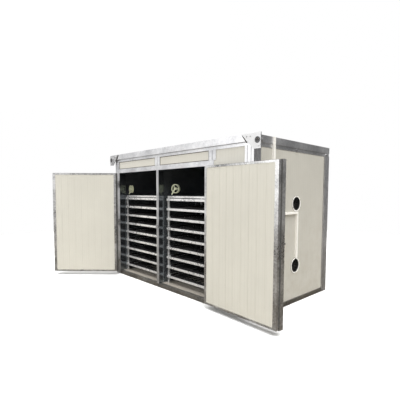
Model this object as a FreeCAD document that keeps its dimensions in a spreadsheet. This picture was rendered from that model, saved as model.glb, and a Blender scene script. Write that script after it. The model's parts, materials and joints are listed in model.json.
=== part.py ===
# Walk-in egg incubator: an insulated panel cabinet on galvanised profiles, with two egg bays behind
# hinged doors, a narrow plenum bay on the right and a rack of nine sliding egg trays in each egg bay.
# Frame: millimetres, +Z up, front facing -Y, origin on the floor at the middle of the footprint.
import FreeCAD, Part
import math
import os
import re
import Sketcher
from FreeCAD import Placement, Rotation, Vector

doc = FreeCAD.newDocument("EggIncubator")
sheet = doc.addObject("Spreadsheet::Sheet", "Sizes")

SIZES = {
    # cabinet
    "cabinet_width": 3220,
    "cabinet_depth": 1850,
    "cabinet_height": 2200,
    "post_face": 134,
    "wall_depth": 100,
    "panel_recess": 12,
    "base_height": 62,
    "base_toe_height": 27,
    "base_toe_recess": 8,
    "base_rail_width": 60,
    "floor_thickness": 50,
    "bearer_width": 90,
    "bearer_count": 5,
    "rail_height": 132,
    "rail_lip": 44,
    "rail_proud": 28,
    "rib_inset": 34,
    "rib_pitch": 56,
    "rib_count": 2,
    "rib_width": 10,
    "rib_depth": 5,
    "roof_thickness": 90,
    "roof_recess": 10,
    "roof_board_count": 3,
    # door surround
    "door_bay_width": 1165,
    "mullion_face": 53,
    "head_height": 1868,
    "head_rail_height": 40,
    "head_groove_height": 30,
    "head_groove_depth": 3,
    "frieze_post_face": 130,
    "frieze_recess": 6,
    "partition_thickness": 53,
    "air_slot_height": 160,
    # doors
    "door_thickness": 110,
    "door_gap": 4,
    "stile_face": 56,
    "hinge_stile_face": 45,
    "door_rail_face": 32,
    "leaf_skin_recess": 3,
    "flute_pitch": 118,
    "flute_width": 4,
    "flute_depth": 1.5,
    "leaf_step_depth": 56,
    "leaf_step": 8,
    "seal_width": 12,
    "seal_height": 7,
    "left_door_open": 133,
    "right_door_open": 177.5,
    # hinges
    "hinge_proud": 12,
    "hinge_edge": 10,
    "knuckle_radius": 10.5,
    "hinge_pin_radius": 6,
    "pin_clearance": 0.05,
    "knuckle_length": 40,
    "knuckle_gap": 1,
    "hinge_leaf_thickness": 4,
    "hinge_strap_length": 58,
    "hinge_plate_length": 40,
    "hinge_inset": 200,
    "hinge_count": 3,
    "pin_head": 5,
    "pin_head_radius": 9,
    # latches
    "latch_height": 980,
    "latch_plate_width": 40,
    "latch_plate_height": 120,
    "latch_plate_thickness": 5,
    "latch_hub_radius": 15,
    "spindle_radius": 7,
    "spindle_clearance": 0.05,
    "spindle_depth": 30,
    "lever_length": 150,
    "lever_width": 24,
    "lever_thickness": 10,
    "lever_standoff": 26,
    "keeper_bite": 18,
    "tongue_width": 16,
    "tongue_thickness": 6,
    "latch_clearance": 1.5,
    "keeper_height": 46,
    "keeper_plate": 5,
    # racks and trays
    "rack_setback": 128,
    "rack_depth": 1450,
    "rack_leg": 24,
    "left_rack_shift": -40,
    "level_count": 9,
    "first_level": 171,
    "level_pitch": 154.3,
    "level_bar_width": 1080,
    "level_bar_height": 35,
    "level_bar_depth": 14,
    "level_bar_sheet": 3,
    "level_bar_overhang": 12,
    "rack_rail_height": 28,
    "rack_rail_gap": 11,
    "rack_tie_height": 30,
    "rack_tie_level": 90,
    "runner_width": 60,
    "runner_sheet": 3,
    "runner_height": 22,
    "tray_lift": 1,
    "tray_side_gap": 40,
    "tray_front_gap": 4,
    "tray_rail_width": 16,
    "tray_rail_height": 26,
    "tray_slat_count": 8,
    "tray_slat_width": 14,
    "tray_slat_height": 8,
    "tray_back_gap": 20,
    "tray_grip_width": 180,
    "tray_grip_height": 12,
    "tray_corner": 12,
    # circulating fans
    "fan_radius": 64,
    "fan_wall": 4,
    "fan_length": 40,
    "fan_lip": 6,
    "fan_motor_radius": 20,
    "fan_motor_length": 22,
    "fan_arm_width": 9,
    "fan_arm_depth": 6,
    "fan_prop_reach": 106,
    "fan_prop_width": 18,
    "fan_prop_angle": 125,
    "blade_tip_clearance": 4,
    "blade_thickness": 2.5,
    "hub_radius": 18,
    "hub_length": 14,
    "shaft_radius": 4,
    "shaft_clearance": 0.05,
    "rotor_gap": 2,
    "blade_count": 5,
    "blade_bite": 5,
    "blade_root_chord": 20,
    "blade_tip_chord": 34,
    "blade_root_pitch": 48,
    "blade_tip_pitch": 24,
    "shaft_length": 10,
    "fan_stem_radius": 8,
    "fan_pin_radius": 5,
    "fan_pin_length": 12,
    "fan_foot_width": 52,
    "fan_foot_depth": 60,
    "fan_foot_thickness": 5,
    "fan_boss_radius": 14,
    "fan_boss_height": 13,
    "swivel_gap": 0.4,
    "fan_centre_height": 1577,
    "fan_foot_setback": 160,
    "fan_foot_distance": 140,
    "left_fan_foot_distance": 73,
    "right_fan_turn": 17,
    "left_fan_turn": -11,
    # side vents
    "vent_radius": 92,
    "vent_rim_radius": 106,
    "vent_rim_thickness": 5,
    "vent_wall": 4,
    "sleeve_fit": 0.3,
    "vent_setback": 957,
    "upper_vent_height": 1372,
    "lower_vent_height": 522,
    "guard_slat": 3,
    "guard_depth": 6,
    "guard_slat_count": 7,
    "vent_motor_length": 34,
    # trunking
    "trunk_setback": 393,
    "trunk_width": 36,
    "trunk_depth": 28,
    "run_height": 25,
    "run_level": 1235,
    "drop_width": 28,
    "trunk_end_gap": 4,
    # lifting ears
    "ear_thickness": 12,
    "ear_reach": 125,
    "ear_foot_inset": 20,
    "ear_top_inset": 155,
    "ear_top_drop": 4,
    "ear_foot_level": 2015,
    "ear_hole_radius": 25,
    "ear_hole_reach": 80,
    "ear_hole_level": 2112,
    "ear_pad_radius": 72,
    "ear_pad_thickness": 4,
    "ear_sleeve_length": 50,
    "ear_sleeve_wall": 6,
    "ear_bolt_radius": 9,
    "ear_bolt_head": 7,
    "ear_bolt_inset": 32,
    "ear_bolt_pitch": 52,
    "ear_bolt_drop": 36,
    # controls
    "control_centre_height": 1420,
    "fascia_width": 300,
    "fascia_height": 380,
    "fascia_thickness": 3,
    "control_box_depth": 70,
    "display_width": 150,
    "display_height": 64,
    "display_thickness": 3,
    "display_rise": 90,
    "switch_radius": 16,
    "switch_length": 6,
    "switch_drop": 100,
    "switch_shaft_radius": 5,
    "switch_grip": 5,
    # plenum fittings
    "heater_radius": 8,
    "heater_reach": 300,
    "heater_bend": 60,
    "heater_setback": 1100,
    "heater_level": 900,
    "heater_pitch": 60,
    "heater_count": 3,
    "heater_plate": 6,
    "pan_length": 600,
    "pan_width": 300,
    "pan_height": 90,
    "pan_sheet": 4,
    "probe_radius": 6,
    "probe_length": 140,
    "probe_cap_radius": 18,
    "probe_cap_length": 20,
    "probe_setback": 900,
}


def fill_sheet():
    for row, (alias, value) in enumerate(SIZES.items(), start=1):
        sheet.set(f"A{row}", alias)
        sheet.set(f"B{row}", str(value))
        sheet.setAlias(f"B{row}", alias)
    doc.recompute()


def cells(text):
    """The expression with each size's name turned into a reference to its cell."""
    return re.sub(r"[a-z_]+", lambda m: f"Sizes.{m.group()}" if m.group() in SIZES else m.group(), str(text))


def size(alias):
    return float(sheet.get(alias))


def bind(thing, prop, text):
    thing.setExpression(prop, cells(text))


def place(thing, x=0, y=0, z=0):
    for axis, text in zip("xyz", (x, y, z)):
        bind(thing, f"Placement.Base.{axis}", text)
    return thing


def turn(thing, angle, axis=(0, 0, 1)):
    thing.Placement = Placement(Vector(), Rotation(Vector(*axis), 1))
    bind(thing, "Placement.Rotation.Angle", angle)
    return thing


def box(name, x, y, z):
    """A block between two expressions along each axis."""
    block = doc.addObject("Part::Box", name)
    for prop, (low, high) in zip(("Length", "Width", "Height"), (x, y, z)):
        bind(block, prop, f"({high}) - ({low})")
    return place(block, x[0], y[0], z[0])


AXIS_TURNS = {"x": ((0, 1, 0), 90), "y": ((1, 0, 0), -90), "z": ((0, 0, 1), 0)}


def cylinder(name, radius, length, x, y, z, along="z"):
    """A round bar from a point, along +X, +Y or +Z."""
    bar = doc.addObject("Part::Cylinder", name)
    bind(bar, "Radius", radius)
    bind(bar, "Height", length)
    axis, angle = AXIS_TURNS[along]
    bar.Placement = Placement(Vector(), Rotation(Vector(*axis), angle))
    return place(bar, x, y, z)


def cut(name, base, *tools):
    for number, tool in enumerate(tools):
        step = doc.addObject("Part::Cut", f"{name}_{number}")
        step.Base, step.Tool = base, tool
        base = step
    return base


def fuse(name, *pieces):
    joined = doc.addObject("Part::MultiFuse", name)
    joined.Shapes = list(pieces)
    joined.Refine = True
    return joined


def mirrored(name, source, normal=(1, 0, 0)):
    copy = doc.addObject("Part::Mirroring", name)
    copy.Source = source
    copy.Normal = Vector(*normal)
    return copy


def moved(name, source, x=0, y=0, z=0):
    copy = doc.addObject("Part::Compound", name)
    copy.Links = [source]
    return place(copy, x, y, z)


NODES = []


def node(label, *pieces):
    """One named sub-part: the pieces kept as separate solids."""
    part = doc.addObject("Part::Compound", label)
    part.Links = list(pieces)
    part.Label = label
    NODES.append(part)
    return part


def origin_plane(body, role):
    return next(item for item in body.Origin.OriginFeatures if item.Role == role)


def outline(body, name, role, points):
    """A closed sketch of straight edges; every corner is held by two bound distances."""
    sketch = body.newObject("Sketcher::SketchObject", name)
    sketch.AttachmentSupport = [(origin_plane(body, role), "")]
    sketch.MapMode = "FlatFace"
    count = len(points)
    turns = [2 * math.pi * i / count for i in range(count)]
    spread = [Vector(math.cos(angle), math.sin(angle)) for angle in turns]
    for here, there in zip(spread, spread[1:] + spread[:1]):
        sketch.addGeometry(Part.LineSegment(here * 100, there * 100))
    for edge in range(count):
        sketch.addConstraint(Sketcher.Constraint("Coincident", edge, 2, (edge + 1) % count, 1))
    doc.recompute()
    numbers = [[sheet_value(text) for text in point] for point in points]
    for edge, (across, up) in enumerate(numbers):
        for kind, value in (("DistanceX", across), ("DistanceY", up)):
            sketch.addConstraint(Sketcher.Constraint(kind, -1, 1, edge, 1, value))
    first = count
    for number, text in enumerate(text for point in points for text in point):
        bind(sketch, f"Constraints[{first + number}]", text)
    return sketch


def sheet_value(text):
    """The present value of an expression, as the start of a sketch's distance."""
    return float(sheet.evalExpression(cells(text)))


def extrusion(name, role, points, length):
    """A PartDesign body: a sketched section padded to a bound length."""
    body = doc.addObject("PartDesign::Body", name)
    section = outline(body, f"{name}_section", role, points)
    pad = body.newObject("PartDesign::Pad", f"{name}_pad")
    pad.Profile = section
    bind(pad, "Length", length)
    doc.recompute()
    return body


def revolved(name, points):
    """A PartDesign body turned about its own Z axis from a section in the XZ plane."""
    body = doc.addObject("PartDesign::Body", name)
    section = outline(body, f"{name}_section", "XZ_Plane", points)
    turned = body.newObject("PartDesign::Revolution", f"{name}_turned")
    turned.Profile = section
    turned.ReferenceAxis = (section, ["V_Axis"])
    turned.Angle = 360
    doc.recompute()
    return body


fill_sheet()

RIGHT = "(cabinet_width / 2)"
LEFT = "(-cabinet_width / 2)"
FRONT = "(-cabinet_depth / 2)"
REAR = "(cabinet_depth / 2)"
TOP = "cabinet_height"
RAIL_BOTTOM = "(cabinet_height - rail_height)"
LIP_TOP = "(cabinet_height - rail_height + rail_lip)"
INNER_REAR = "(cabinet_depth / 2 - wall_depth)"
CEILING = "(cabinet_height - roof_recess - roof_thickness)"
# the front, from left to right
BAY_1 = "(post_face - cabinet_width / 2)"
MULLION_1 = f"({BAY_1} + door_bay_width)"
BAY_2 = f"({MULLION_1} + mullion_face)"
MULLION_2 = f"({BAY_2} + door_bay_width)"
BAY_3 = f"({MULLION_2} + mullion_face)"
BAY_3_END = "(cabinet_width / 2 - post_face)"
HEAD_TOP = "(head_height + head_rail_height + head_groove_height)"


# ---- cabinet frame -------------------------------------------------------------------------------
def ribbed_post():
    """The front left post: an extruded section with shallow upright ribs on its two outer faces."""
    starts = [f"rib_inset + {i} * rib_pitch" for i in range(int(size("rib_count")))]
    front_face = [(0, 0)]
    for start in starts:
        front_face += [(start, 0), (start, "rib_depth"), (f"{start} + rib_width", "rib_depth")]
        front_face += [(f"{start} + rib_width", 0)]
    side_face = [(y, x) for x, y in reversed(front_face[1:])]
    points = front_face + [("post_face", 0), ("post_face", "post_face"), (0, "post_face")] + side_face
    return place(extrusion("post", "XY_Plane", points, RAIL_BOTTOM), LEFT, FRONT, 0)


def corner_posts():
    front_left = ribbed_post()
    front_right = mirrored("post_front_right", front_left)
    rear_left = mirrored("post_rear_left", front_left, (0, 1, 0))
    rear_right = mirrored("post_rear_right", front_right, (0, 1, 0))
    node("corner_posts", front_left, front_right, rear_left, rear_right)


def roof_frame():
    """Four top rails; each has a proud upper face over a lip that is set back."""
    front = extrusion("front_rail", "YZ_Plane", [
        (0, 0), ("post_face", 0), ("post_face", "rail_height"), ("-rail_proud", "rail_height"),
        ("-rail_proud", "rail_lip"), (0, "rail_lip"),
    ], "cabinet_width")
    rear = extrusion("rear_rail", "YZ_Plane", [
        ("-post_face", 0), ("-panel_recess", 0), ("-panel_recess", "rail_lip"), (0, "rail_lip"),
        (0, "rail_height"), ("-post_face", "rail_height"),
    ], "cabinet_width")
    side = extrusion("side_rail", "XZ_Plane", [
        ("-post_face", 0), ("-panel_recess", 0), ("-panel_recess", "rail_lip"), (0, "rail_lip"),
        (0, "rail_height"), ("-post_face", "rail_height"),
    ], "cabinet_depth - 2 * post_face")
    place(front, LEFT, FRONT, RAIL_BOTTOM)
    place(rear, LEFT, REAR, RAIL_BOTTOM)
    place(side, RIGHT, f"{REAR} - post_face", RAIL_BOTTOM)
    node("roof_frame", front, rear, side, mirrored("side_rail_left", side))


def base_frame():
    """Rails on the floor with a toe recess, and flat bearers under the floor boards."""
    toe = [
        ("base_toe_recess", 0), ("base_rail_width", 0), ("base_rail_width", "base_height"),
        (0, "base_height"), (0, "base_toe_height"), ("base_toe_recess", "base_toe_height"),
    ]
    front = place(extrusion("sill", "YZ_Plane", toe, "cabinet_width - 2 * post_face"), BAY_1, FRONT, 0)
    side = extrusion("side_sill", "XZ_Plane", toe, "cabinet_depth - 2 * post_face")
    place(side, LEFT, f"{REAR} - post_face", 0)
    bearers = []
    for i in range(1, int(size("bearer_count")) + 1):
        middle = f"({LEFT} + {i} * cabinet_width / (bearer_count + 1))"
        bearers.append(box(f"bearer_{i}", (f"{middle} - bearer_width / 2", f"{middle} + bearer_width / 2"),
                           (f"{FRONT} + base_rail_width", f"{REAR} - base_rail_width"),
                           (0, "base_height - floor_thickness")))
    rear = mirrored("rear_sill", front, (0, 1, 0))
    node("base_frame", front, rear, side, mirrored("side_sill_right", side), *bearers)


def ribbed_section(face, depth):
    """The section of an upright with one shallow rib down the middle of its front face."""
    rib_start, rib_end = (f"({face} - rib_width) / 2", f"({face} + rib_width) / 2")
    return [
        (0, 0), (rib_start, 0), (rib_start, "rib_depth"), (rib_end, "rib_depth"), (rib_end, 0),
        (face, 0), (face, depth), (0, depth),
    ]


def door_surround():
    """Two mullions, the stepped head rail over both doorways and the posts between the frieze panels."""
    mullions = []
    for i, start in enumerate((MULLION_1, MULLION_2)):
        section = ribbed_section("mullion_face", "door_thickness")
        mullion = extrusion(f"mullion_{i}", "XY_Plane", section, "head_height - base_height")
        mullions.append(place(mullion, start, FRONT, "base_height"))
    head = extrusion("head_rail", "YZ_Plane", [
        (0, 0), ("wall_depth", 0), ("wall_depth", "head_rail_height + head_groove_height"),
        ("head_groove_depth", "head_rail_height + head_groove_height"),
        ("head_groove_depth", "head_rail_height"), (0, "head_rail_height"),
    ], f"{BAY_3} - {BAY_1}")
    place(head, BAY_1, FRONT, "head_height")
    posts = []
    for i, start in enumerate((MULLION_1, MULLION_2)):
        section = ribbed_section("frieze_post_face", "wall_depth")
        post = extrusion(f"frieze_post_{i}", "XY_Plane", section, f"{RAIL_BOTTOM} - {HEAD_TOP}")
        posts.append(place(post, f"{start} + mullion_face / 2 - frieze_post_face / 2", FRONT, HEAD_TOP))
    node("door_surround", *mullions, head, *posts)


# ---- cabinet panels ------------------------------------------------------------------------------
def frieze_panels():
    half_post = "(frieze_post_face / 2)"
    middles = [f"({start} + mullion_face / 2)" for start in (MULLION_1, MULLION_2)]
    spans = [
        (BAY_1, f"{middles[0]} - {half_post}"),
        (f"{middles[0]} + {half_post}", f"{middles[1]} - {half_post}"),
        (f"{middles[1]} + {half_post}", BAY_3_END),
    ]
    deep = (f"{FRONT} + frieze_recess", f"{FRONT} + wall_depth")
    panels = [box(f"frieze_{i}", span, deep, (HEAD_TOP, RAIL_BOTTOM)) for i, span in enumerate(spans)]
    node("frieze_panels", *panels)


VENT_LEVELS = {"upper": "upper_vent_height", "lower": "lower_vent_height"}
SLEEVE_RADIUS = "(vent_radius + vent_wall)"


def side_panels():
    upright = ("base_height", RAIL_BOTTOM)
    between = (f"{FRONT} + post_face", f"{REAR} - post_face")
    left = box("left_board", (f"{LEFT} + panel_recess", f"{LEFT} + wall_depth"), between, upright)
    right = box("right_board", (f"{RIGHT} - wall_depth", f"{RIGHT} - panel_recess"), between, upright)
    holes = [
        cylinder(f"vent_hole_{name}", f"{SLEEVE_RADIUS} + sleeve_fit", "wall_depth", f"{RIGHT} - wall_depth",
                 f"{FRONT} + vent_setback", level, along="x")
        for name, level in VENT_LEVELS.items()
    ]
    node("side_panel_left", left)
    node("side_panel_right", cut("right_board_holed", right, *holes))


def boards(name, low, high, count, y, z):
    """Equal boards side by side along X."""
    width = f"(({high} - {low}) / {count})"
    return [
        box(f"{name}_{i}", (f"{low} + {i} * {width}", f"{low} + {i + 1} * {width}"), y, z)
        for i in range(count)
    ]


def wide_panels():
    count = int(size("roof_board_count"))
    rear = boards("rear_board", BAY_1, BAY_3_END, count,
                  (INNER_REAR, f"{REAR} - panel_recess"), ("base_height", RAIL_BOTTOM))
    roof = boards("roof_board", BAY_1, BAY_3_END, count,
                  (f"{FRONT} + post_face", f"{REAR} - post_face"), (CEILING, f"{TOP} - roof_recess"))
    node("rear_panels", *rear)
    node("roof_panels", *roof)


def floor_panels():
    level = ("base_height - floor_thickness", "base_height")
    between_posts = (f"{FRONT} + post_face", f"{REAR} - post_face")
    middle = boards("floor_board", BAY_1, BAY_3_END, int(size("roof_board_count")),
                    (f"{FRONT} + base_rail_width", f"{REAR} - base_rail_width"), level)
    left = box("floor_left", (f"{LEFT} + base_rail_width", BAY_1), between_posts, level)
    node("floor_panels", *middle, left, mirrored("floor_right", left))


def partitions():
    """The wall between the egg bays reaches the floor; the plenum wall leaves an air slot there too."""
    deep = (f"{FRONT} + door_thickness", INNER_REAR)
    top = f"{CEILING} - air_slot_height"
    centre = box("centre_wall", (MULLION_1, f"{MULLION_1} + partition_thickness"), deep, ("base_height", top))
    plenum = box("plenum_wall", (MULLION_2, f"{MULLION_2} + partition_thickness"), deep,
                 ("base_height + air_slot_height", top))
    node("partitions", centre, plenum)


def control_bay_panel():
    board = box("control_board", (BAY_3, BAY_3_END), (f"{FRONT} + frieze_recess", f"{FRONT} + wall_depth"),
                ("base_height", HEAD_TOP))
    opening = box("control_opening", control_span("fascia_width - 4 * fascia_thickness"),
                  (FRONT, f"{FRONT} + wall_depth"), control_rise("fascia_height - 4 * fascia_thickness"))
    node("control_bay_panel", cut("control_board_open", board, opening))


# ---- controls ------------------------------------------------------------------------------------
CONTROL_X = f"(({BAY_3} + {BAY_3_END}) / 2)"
FASCIA_BACK = f"({FRONT} + frieze_recess)"
FASCIA_FRONT = f"({FASCIA_BACK} - fascia_thickness)"
SWITCH_Z = "(control_centre_height - switch_drop)"


def control_span(width):
    return (f"{CONTROL_X} - ({width}) / 2", f"{CONTROL_X} + ({width}) / 2")


def control_rise(height, offset=0):
    middle = f"(control_centre_height + {offset})"
    return (f"{middle} - ({height}) / 2", f"{middle} + ({height}) / 2")


def controls():
    """A fascia over a closed box in the board, a display window and a rotary main switch."""
    plate = box("fascia_plate", control_span("fascia_width"), (FASCIA_FRONT, FASCIA_BACK),
                control_rise("fascia_height"))
    housing = box("control_housing", control_span("fascia_width - 4 * fascia_thickness"),
                  (FASCIA_BACK, f"{FASCIA_BACK} + control_box_depth"),
                  control_rise("fascia_height - 4 * fascia_thickness"))
    bore = cylinder("switch_bore", "switch_shaft_radius + shaft_clearance", "shaft_length", CONTROL_X,
                    FASCIA_FRONT, SWITCH_Z, along="y")
    node("control_fascia", cut("fascia", fuse("fascia_and_box", plate, housing), bore))
    window = box("window_pane", control_span("display_width"),
                 (f"{FASCIA_FRONT} - display_thickness", FASCIA_FRONT),
                 control_rise("display_height", "display_rise"))
    node("display_window", window)
    knob_face = f"({FASCIA_FRONT} - switch_length)"
    knob = cylinder("knob_disc", "switch_radius", "switch_length", CONTROL_X, knob_face, SWITCH_Z, along="y")
    grip = box("knob_grip", control_span("switch_grip"), (f"{knob_face} - switch_grip", knob_face),
               (f"{SWITCH_Z} - switch_radius", f"{SWITCH_Z} + switch_radius"))
    stub = cylinder("knob_shaft", "switch_shaft_radius", "shaft_length - rotor_gap", CONTROL_X, FASCIA_FRONT,
                    SWITCH_Z, along="y")
    node("main_switch", fuse("knob", knob, grip, stub))


# ---- doors ---------------------------------------------------------------------------------------
# A door is drawn closed and left-hinged with its hinge axis on the Z axis: the leaf runs along +X and
# its outer face looks to -Y. The right door is the mirror image.
LEAF_START = "(hinge_edge + door_gap)"
LEAF_END = "(hinge_edge + door_bay_width - door_gap)"
LEAF_FACE = "hinge_proud"
LEAF_BACK = "(hinge_proud + door_thickness)"
LEAF_SHOULDER = "(hinge_proud + leaf_step_depth)"
LEAF_BOTTOM = "(base_height + door_gap)"
LEAF_TOP = "(head_height - door_gap)"
INFILL_START = f"({LEAF_START} + hinge_stile_face)"
INFILL_END = f"({LEAF_END} - stile_face)"
INFILL_BOTTOM = f"({LEAF_BOTTOM} + door_rail_face)"
INFILL_TOP = f"({LEAF_TOP} - door_rail_face)"
LATCH_X = f"({LEAF_END} - stile_face / 2)"
PLATE_FACE = "(hinge_proud - latch_plate_thickness)"
TONGUE_BACK = f"({PLATE_FACE} - latch_clearance)"
TONGUE_FRONT = f"({TONGUE_BACK} - tongue_thickness)"
LEVER_BACK = "(hinge_proud - lever_standoff)"
HINGE_HEIGHT = "(3 * knuckle_length + 2 * knuckle_gap)"
BORE_RADIUS = "(hinge_pin_radius + pin_clearance)"


def frame_ring(name, inset, y):
    """A rectangular frame at an inset from the leaf's outline, open inside its stiles and rails."""
    outer = box(f"{name}_outer", (f"{LEAF_START} + {inset}", f"{LEAF_END} - {inset}"), y,
                (f"{LEAF_BOTTOM} + {inset}", f"{LEAF_TOP} - {inset}"))
    inner = box(f"{name}_inner", (INFILL_START, INFILL_END), y, (INFILL_BOTTOM, INFILL_TOP))
    return cut(name, outer, inner)


def door_frame():
    """Welded edge profile: full size towards the outside, stepped back inside where the seal sits."""
    outer = frame_ring("frame_front", 0, (LEAF_FACE, LEAF_SHOULDER))
    inner = frame_ring("frame_back", "leaf_step", (LEAF_SHOULDER, LEAF_BACK))
    bore = cylinder("spindle_bore", "spindle_radius + spindle_clearance", "spindle_depth + spindle_clearance",
                    LATCH_X, LEAF_FACE, "latch_height", along="y")
    return cut("leaf_frame", fuse("frame_profile", outer, inner), bore)


def door_seal():
    """Four rubber strips round the step of the edge profile."""
    y = (LEAF_SHOULDER, f"{LEAF_SHOULDER} + seal_width")
    low, high = (f"{LEAF_START} + leaf_step", f"{LEAF_END} - leaf_step")
    bottom, top = (f"{LEAF_BOTTOM} + leaf_step", f"{LEAF_TOP} - leaf_step")
    upright = (f"{bottom} - seal_height", f"{top} + seal_height")
    return [
        box("seal_hinge", (f"{low} - seal_height", low), y, upright),
        box("seal_free", (high, f"{high} + seal_height"), y, upright),
        box("seal_bottom", (low, high), y, (f"{bottom} - seal_height", bottom)),
        box("seal_top", (low, high), y, (top, f"{top} + seal_height")),
    ]


def door_panel():
    """The insulated infill, set back a little and fluted on both faces."""
    rise = (INFILL_BOTTOM, INFILL_TOP)
    skin_front, skin_back = (f"{LEAF_FACE} + leaf_skin_recess", f"{LEAF_BACK} - leaf_skin_recess")
    infill = box("leaf_infill", (INFILL_START, INFILL_END), (skin_front, skin_back), rise)
    clear = sheet_value(f"{INFILL_END} - {INFILL_START}")
    flutes = []
    for i in range(1, math.ceil(clear / size("flute_pitch"))):
        middle = f"{INFILL_START} + {i} * flute_pitch"
        across = (f"{middle} - flute_width / 2", f"{middle} + flute_width / 2")
        flutes.append(box(f"flute_front_{i}", across, (LEAF_FACE, f"{skin_front} + flute_depth"), rise))
        flutes.append(box(f"flute_back_{i}", across, (f"{skin_back} - flute_depth", LEAF_BACK), rise))
    tools = doc.addObject("Part::Compound", "flutes")
    tools.Links = flutes
    return cut("leaf_panel", infill, tools)


def hinge_levels():
    count = int(size("hinge_count"))
    low, high = (f"({LEAF_BOTTOM} + hinge_inset)", f"({LEAF_TOP} - hinge_inset)")
    return [f"({low} + {i} * ({high} - {low}) / {count - 1})" for i in range(count)]


def hinge_half(name, level, knuckles, sign, reach):
    """Plate and knuckles of one hinge half; sign is +1 for the leaf's side and -1 for the jamb's."""
    near, far = (f"{sign} * (knuckle_radius + knuckle_gap)", f"{sign} * {reach}")
    plate_y = ("hinge_proud - hinge_leaf_thickness", "hinge_proud")
    across = (near, far) if sign > 0 else (far, near)
    bottom = f"({level} - {HINGE_HEIGHT} / 2)"
    pieces = [box(f"{name}_plate", across, plate_y, (bottom, f"{bottom} + {HINGE_HEIGHT}"))]
    for k in knuckles:
        base = f"({bottom} + {k} * (knuckle_length + knuckle_gap))"
        rise = (base, f"{base} + knuckle_length")
        pieces.append(cylinder(f"{name}_knuckle_{k}", "knuckle_radius", "knuckle_length", 0, 0, base))
        web = (0, near) if sign > 0 else (near, 0)
        pieces.append(box(f"{name}_web_{k}", web, plate_y, rise))
    bore = cylinder(f"{name}_bore", BORE_RADIUS, HINGE_HEIGHT, 0, 0, bottom)
    return cut(f"{name}_bored", fuse(name, *pieces), bore)


def hinge_straps():
    return [
        hinge_half(f"strap_{i}", level, (1,), 1, "hinge_strap_length")
        for i, level in enumerate(hinge_levels())
    ]


def fixed_hinges():
    """Jamb plates with their two outer knuckles, and a headed pin through each hinge."""
    pieces = []
    for i, level in enumerate(hinge_levels()):
        pieces.append(hinge_half(f"jamb_hinge_{i}", level, (0, 2), -1, "hinge_plate_length"))
        pin = cylinder(f"pin_{i}", "hinge_pin_radius", HINGE_HEIGHT, 0, 0, f"{level} - {HINGE_HEIGHT} / 2")
        head = cylinder(f"pin_head_{i}", "pin_head_radius", "pin_head", 0, 0, f"{level} + {HINGE_HEIGHT} / 2")
        pieces.append(fuse(f"headed_pin_{i}", pin, head))
    return pieces


def latch_plate():
    across = (f"{LATCH_X} - latch_plate_width / 2", f"{LATCH_X} + latch_plate_width / 2")
    rise = ("latch_height - latch_plate_height / 2", "latch_height + latch_plate_height / 2")
    plate = box("latch_backplate", across, (PLATE_FACE, LEAF_FACE), rise)
    bore = cylinder("latch_plate_bore", "spindle_radius + spindle_clearance", "2 * latch_plate_thickness",
                    LATCH_X, PLATE_FACE, "latch_height", along="y")
    return cut("latch_plate_bored", plate, bore)


def latch_lever():
    """Lever, hub, spindle and tongue in one piece, released: lever level, tongue hanging down."""
    hub_start = f"({LEVER_BACK} - lever_thickness)"
    hub = cylinder("latch_hub", "latch_hub_radius", f"{TONGUE_BACK} - {hub_start}", LATCH_X, hub_start,
                   "latch_height", along="y")
    spindle = cylinder("latch_spindle", "spindle_radius", f"{LEAF_FACE} + spindle_depth - {TONGUE_BACK}",
                       LATCH_X, TONGUE_BACK, "latch_height", along="y")
    lever = box("latch_bar", (f"{LATCH_X} - lever_length", LATCH_X), (hub_start, LEVER_BACK),
                ("latch_height - lever_width / 2", "latch_height + lever_width / 2"))
    grip = cylinder("latch_grip_end", "lever_width / 2", "lever_thickness", f"{LATCH_X} - lever_length",
                    hub_start, "latch_height", along="y")
    tongue = box("latch_tongue", (f"{LATCH_X} - tongue_width / 2", f"{LATCH_X} + tongue_width / 2"),
                 (TONGUE_FRONT, TONGUE_BACK),
                 ("latch_height - stile_face / 2 - door_gap - keeper_bite", "latch_height"))
    return fuse("latch_piece", hub, spindle, lever, grip, tongue)


def door_side(name, start, sign, angle, pieces):
    """Turns one door's pieces into nodes at their hinge, mirrored for the right-hand door."""
    for label, group in pieces.items():
        if sign < 0:
            group = [mirrored(f"{item.Name}_right", item) for item in group]
        part = node(f"door_{name}_{label}", *group)
        place(turn(part, angle), start, f"{FRONT} - hinge_proud", 0)


LEFT_AXIS = f"({BAY_1} - hinge_edge)"
RIGHT_AXIS = f"({MULLION_2} + hinge_edge)"


def doors():
    pieces = {
        "panel": [door_panel()],
        "frame": [door_frame(), latch_plate(), *hinge_straps()],
        "seal": door_seal(),
        "latch": [latch_lever()],
    }
    door_side("left", LEFT_AXIS, 1, "-left_door_open", pieces)
    door_side("right", RIGHT_AXIS, -1, "right_door_open", pieces)
    fixed = fixed_hinges()
    left, right = (doc.addObject("Part::Compound", f"hinges_{name}") for name in ("left", "right"))
    left.Links = fixed
    right.Links = [mirrored(f"{item.Name}_right", item) for item in fixed]
    place(left, LEFT_AXIS, f"{FRONT} - hinge_proud", 0)
    place(right, RIGHT_AXIS, f"{FRONT} - hinge_proud", 0)
    node("hinge_plates", left, right)


def latch_keepers():
    """Two hooks on the centre mullion; each door's tongue turns up behind its lip."""
    tip = f"({MULLION_1} + keeper_bite + latch_clearance)"
    lip_back = f"({FRONT} - hinge_proud + {TONGUE_FRONT} - latch_clearance)"
    rise = ("latch_height - keeper_height / 2", "latch_height + keeper_height / 2")
    wall = box("keeper_wall", (tip, f"{tip} + keeper_plate"), (f"{lip_back} - keeper_plate", FRONT), rise)
    lip = box("keeper_lip", (f"{MULLION_1} + latch_clearance", tip),
              (f"{lip_back} - keeper_plate", lip_back), rise)
    left = fuse("keeper", wall, lip)
    middle = f"({MULLION_1} + mullion_face / 2)"
    right = moved("keeper_right", mirrored("keeper_mirrored", left), x=f"2 * {middle}")
    node("latch_keepers", left, right)


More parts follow.
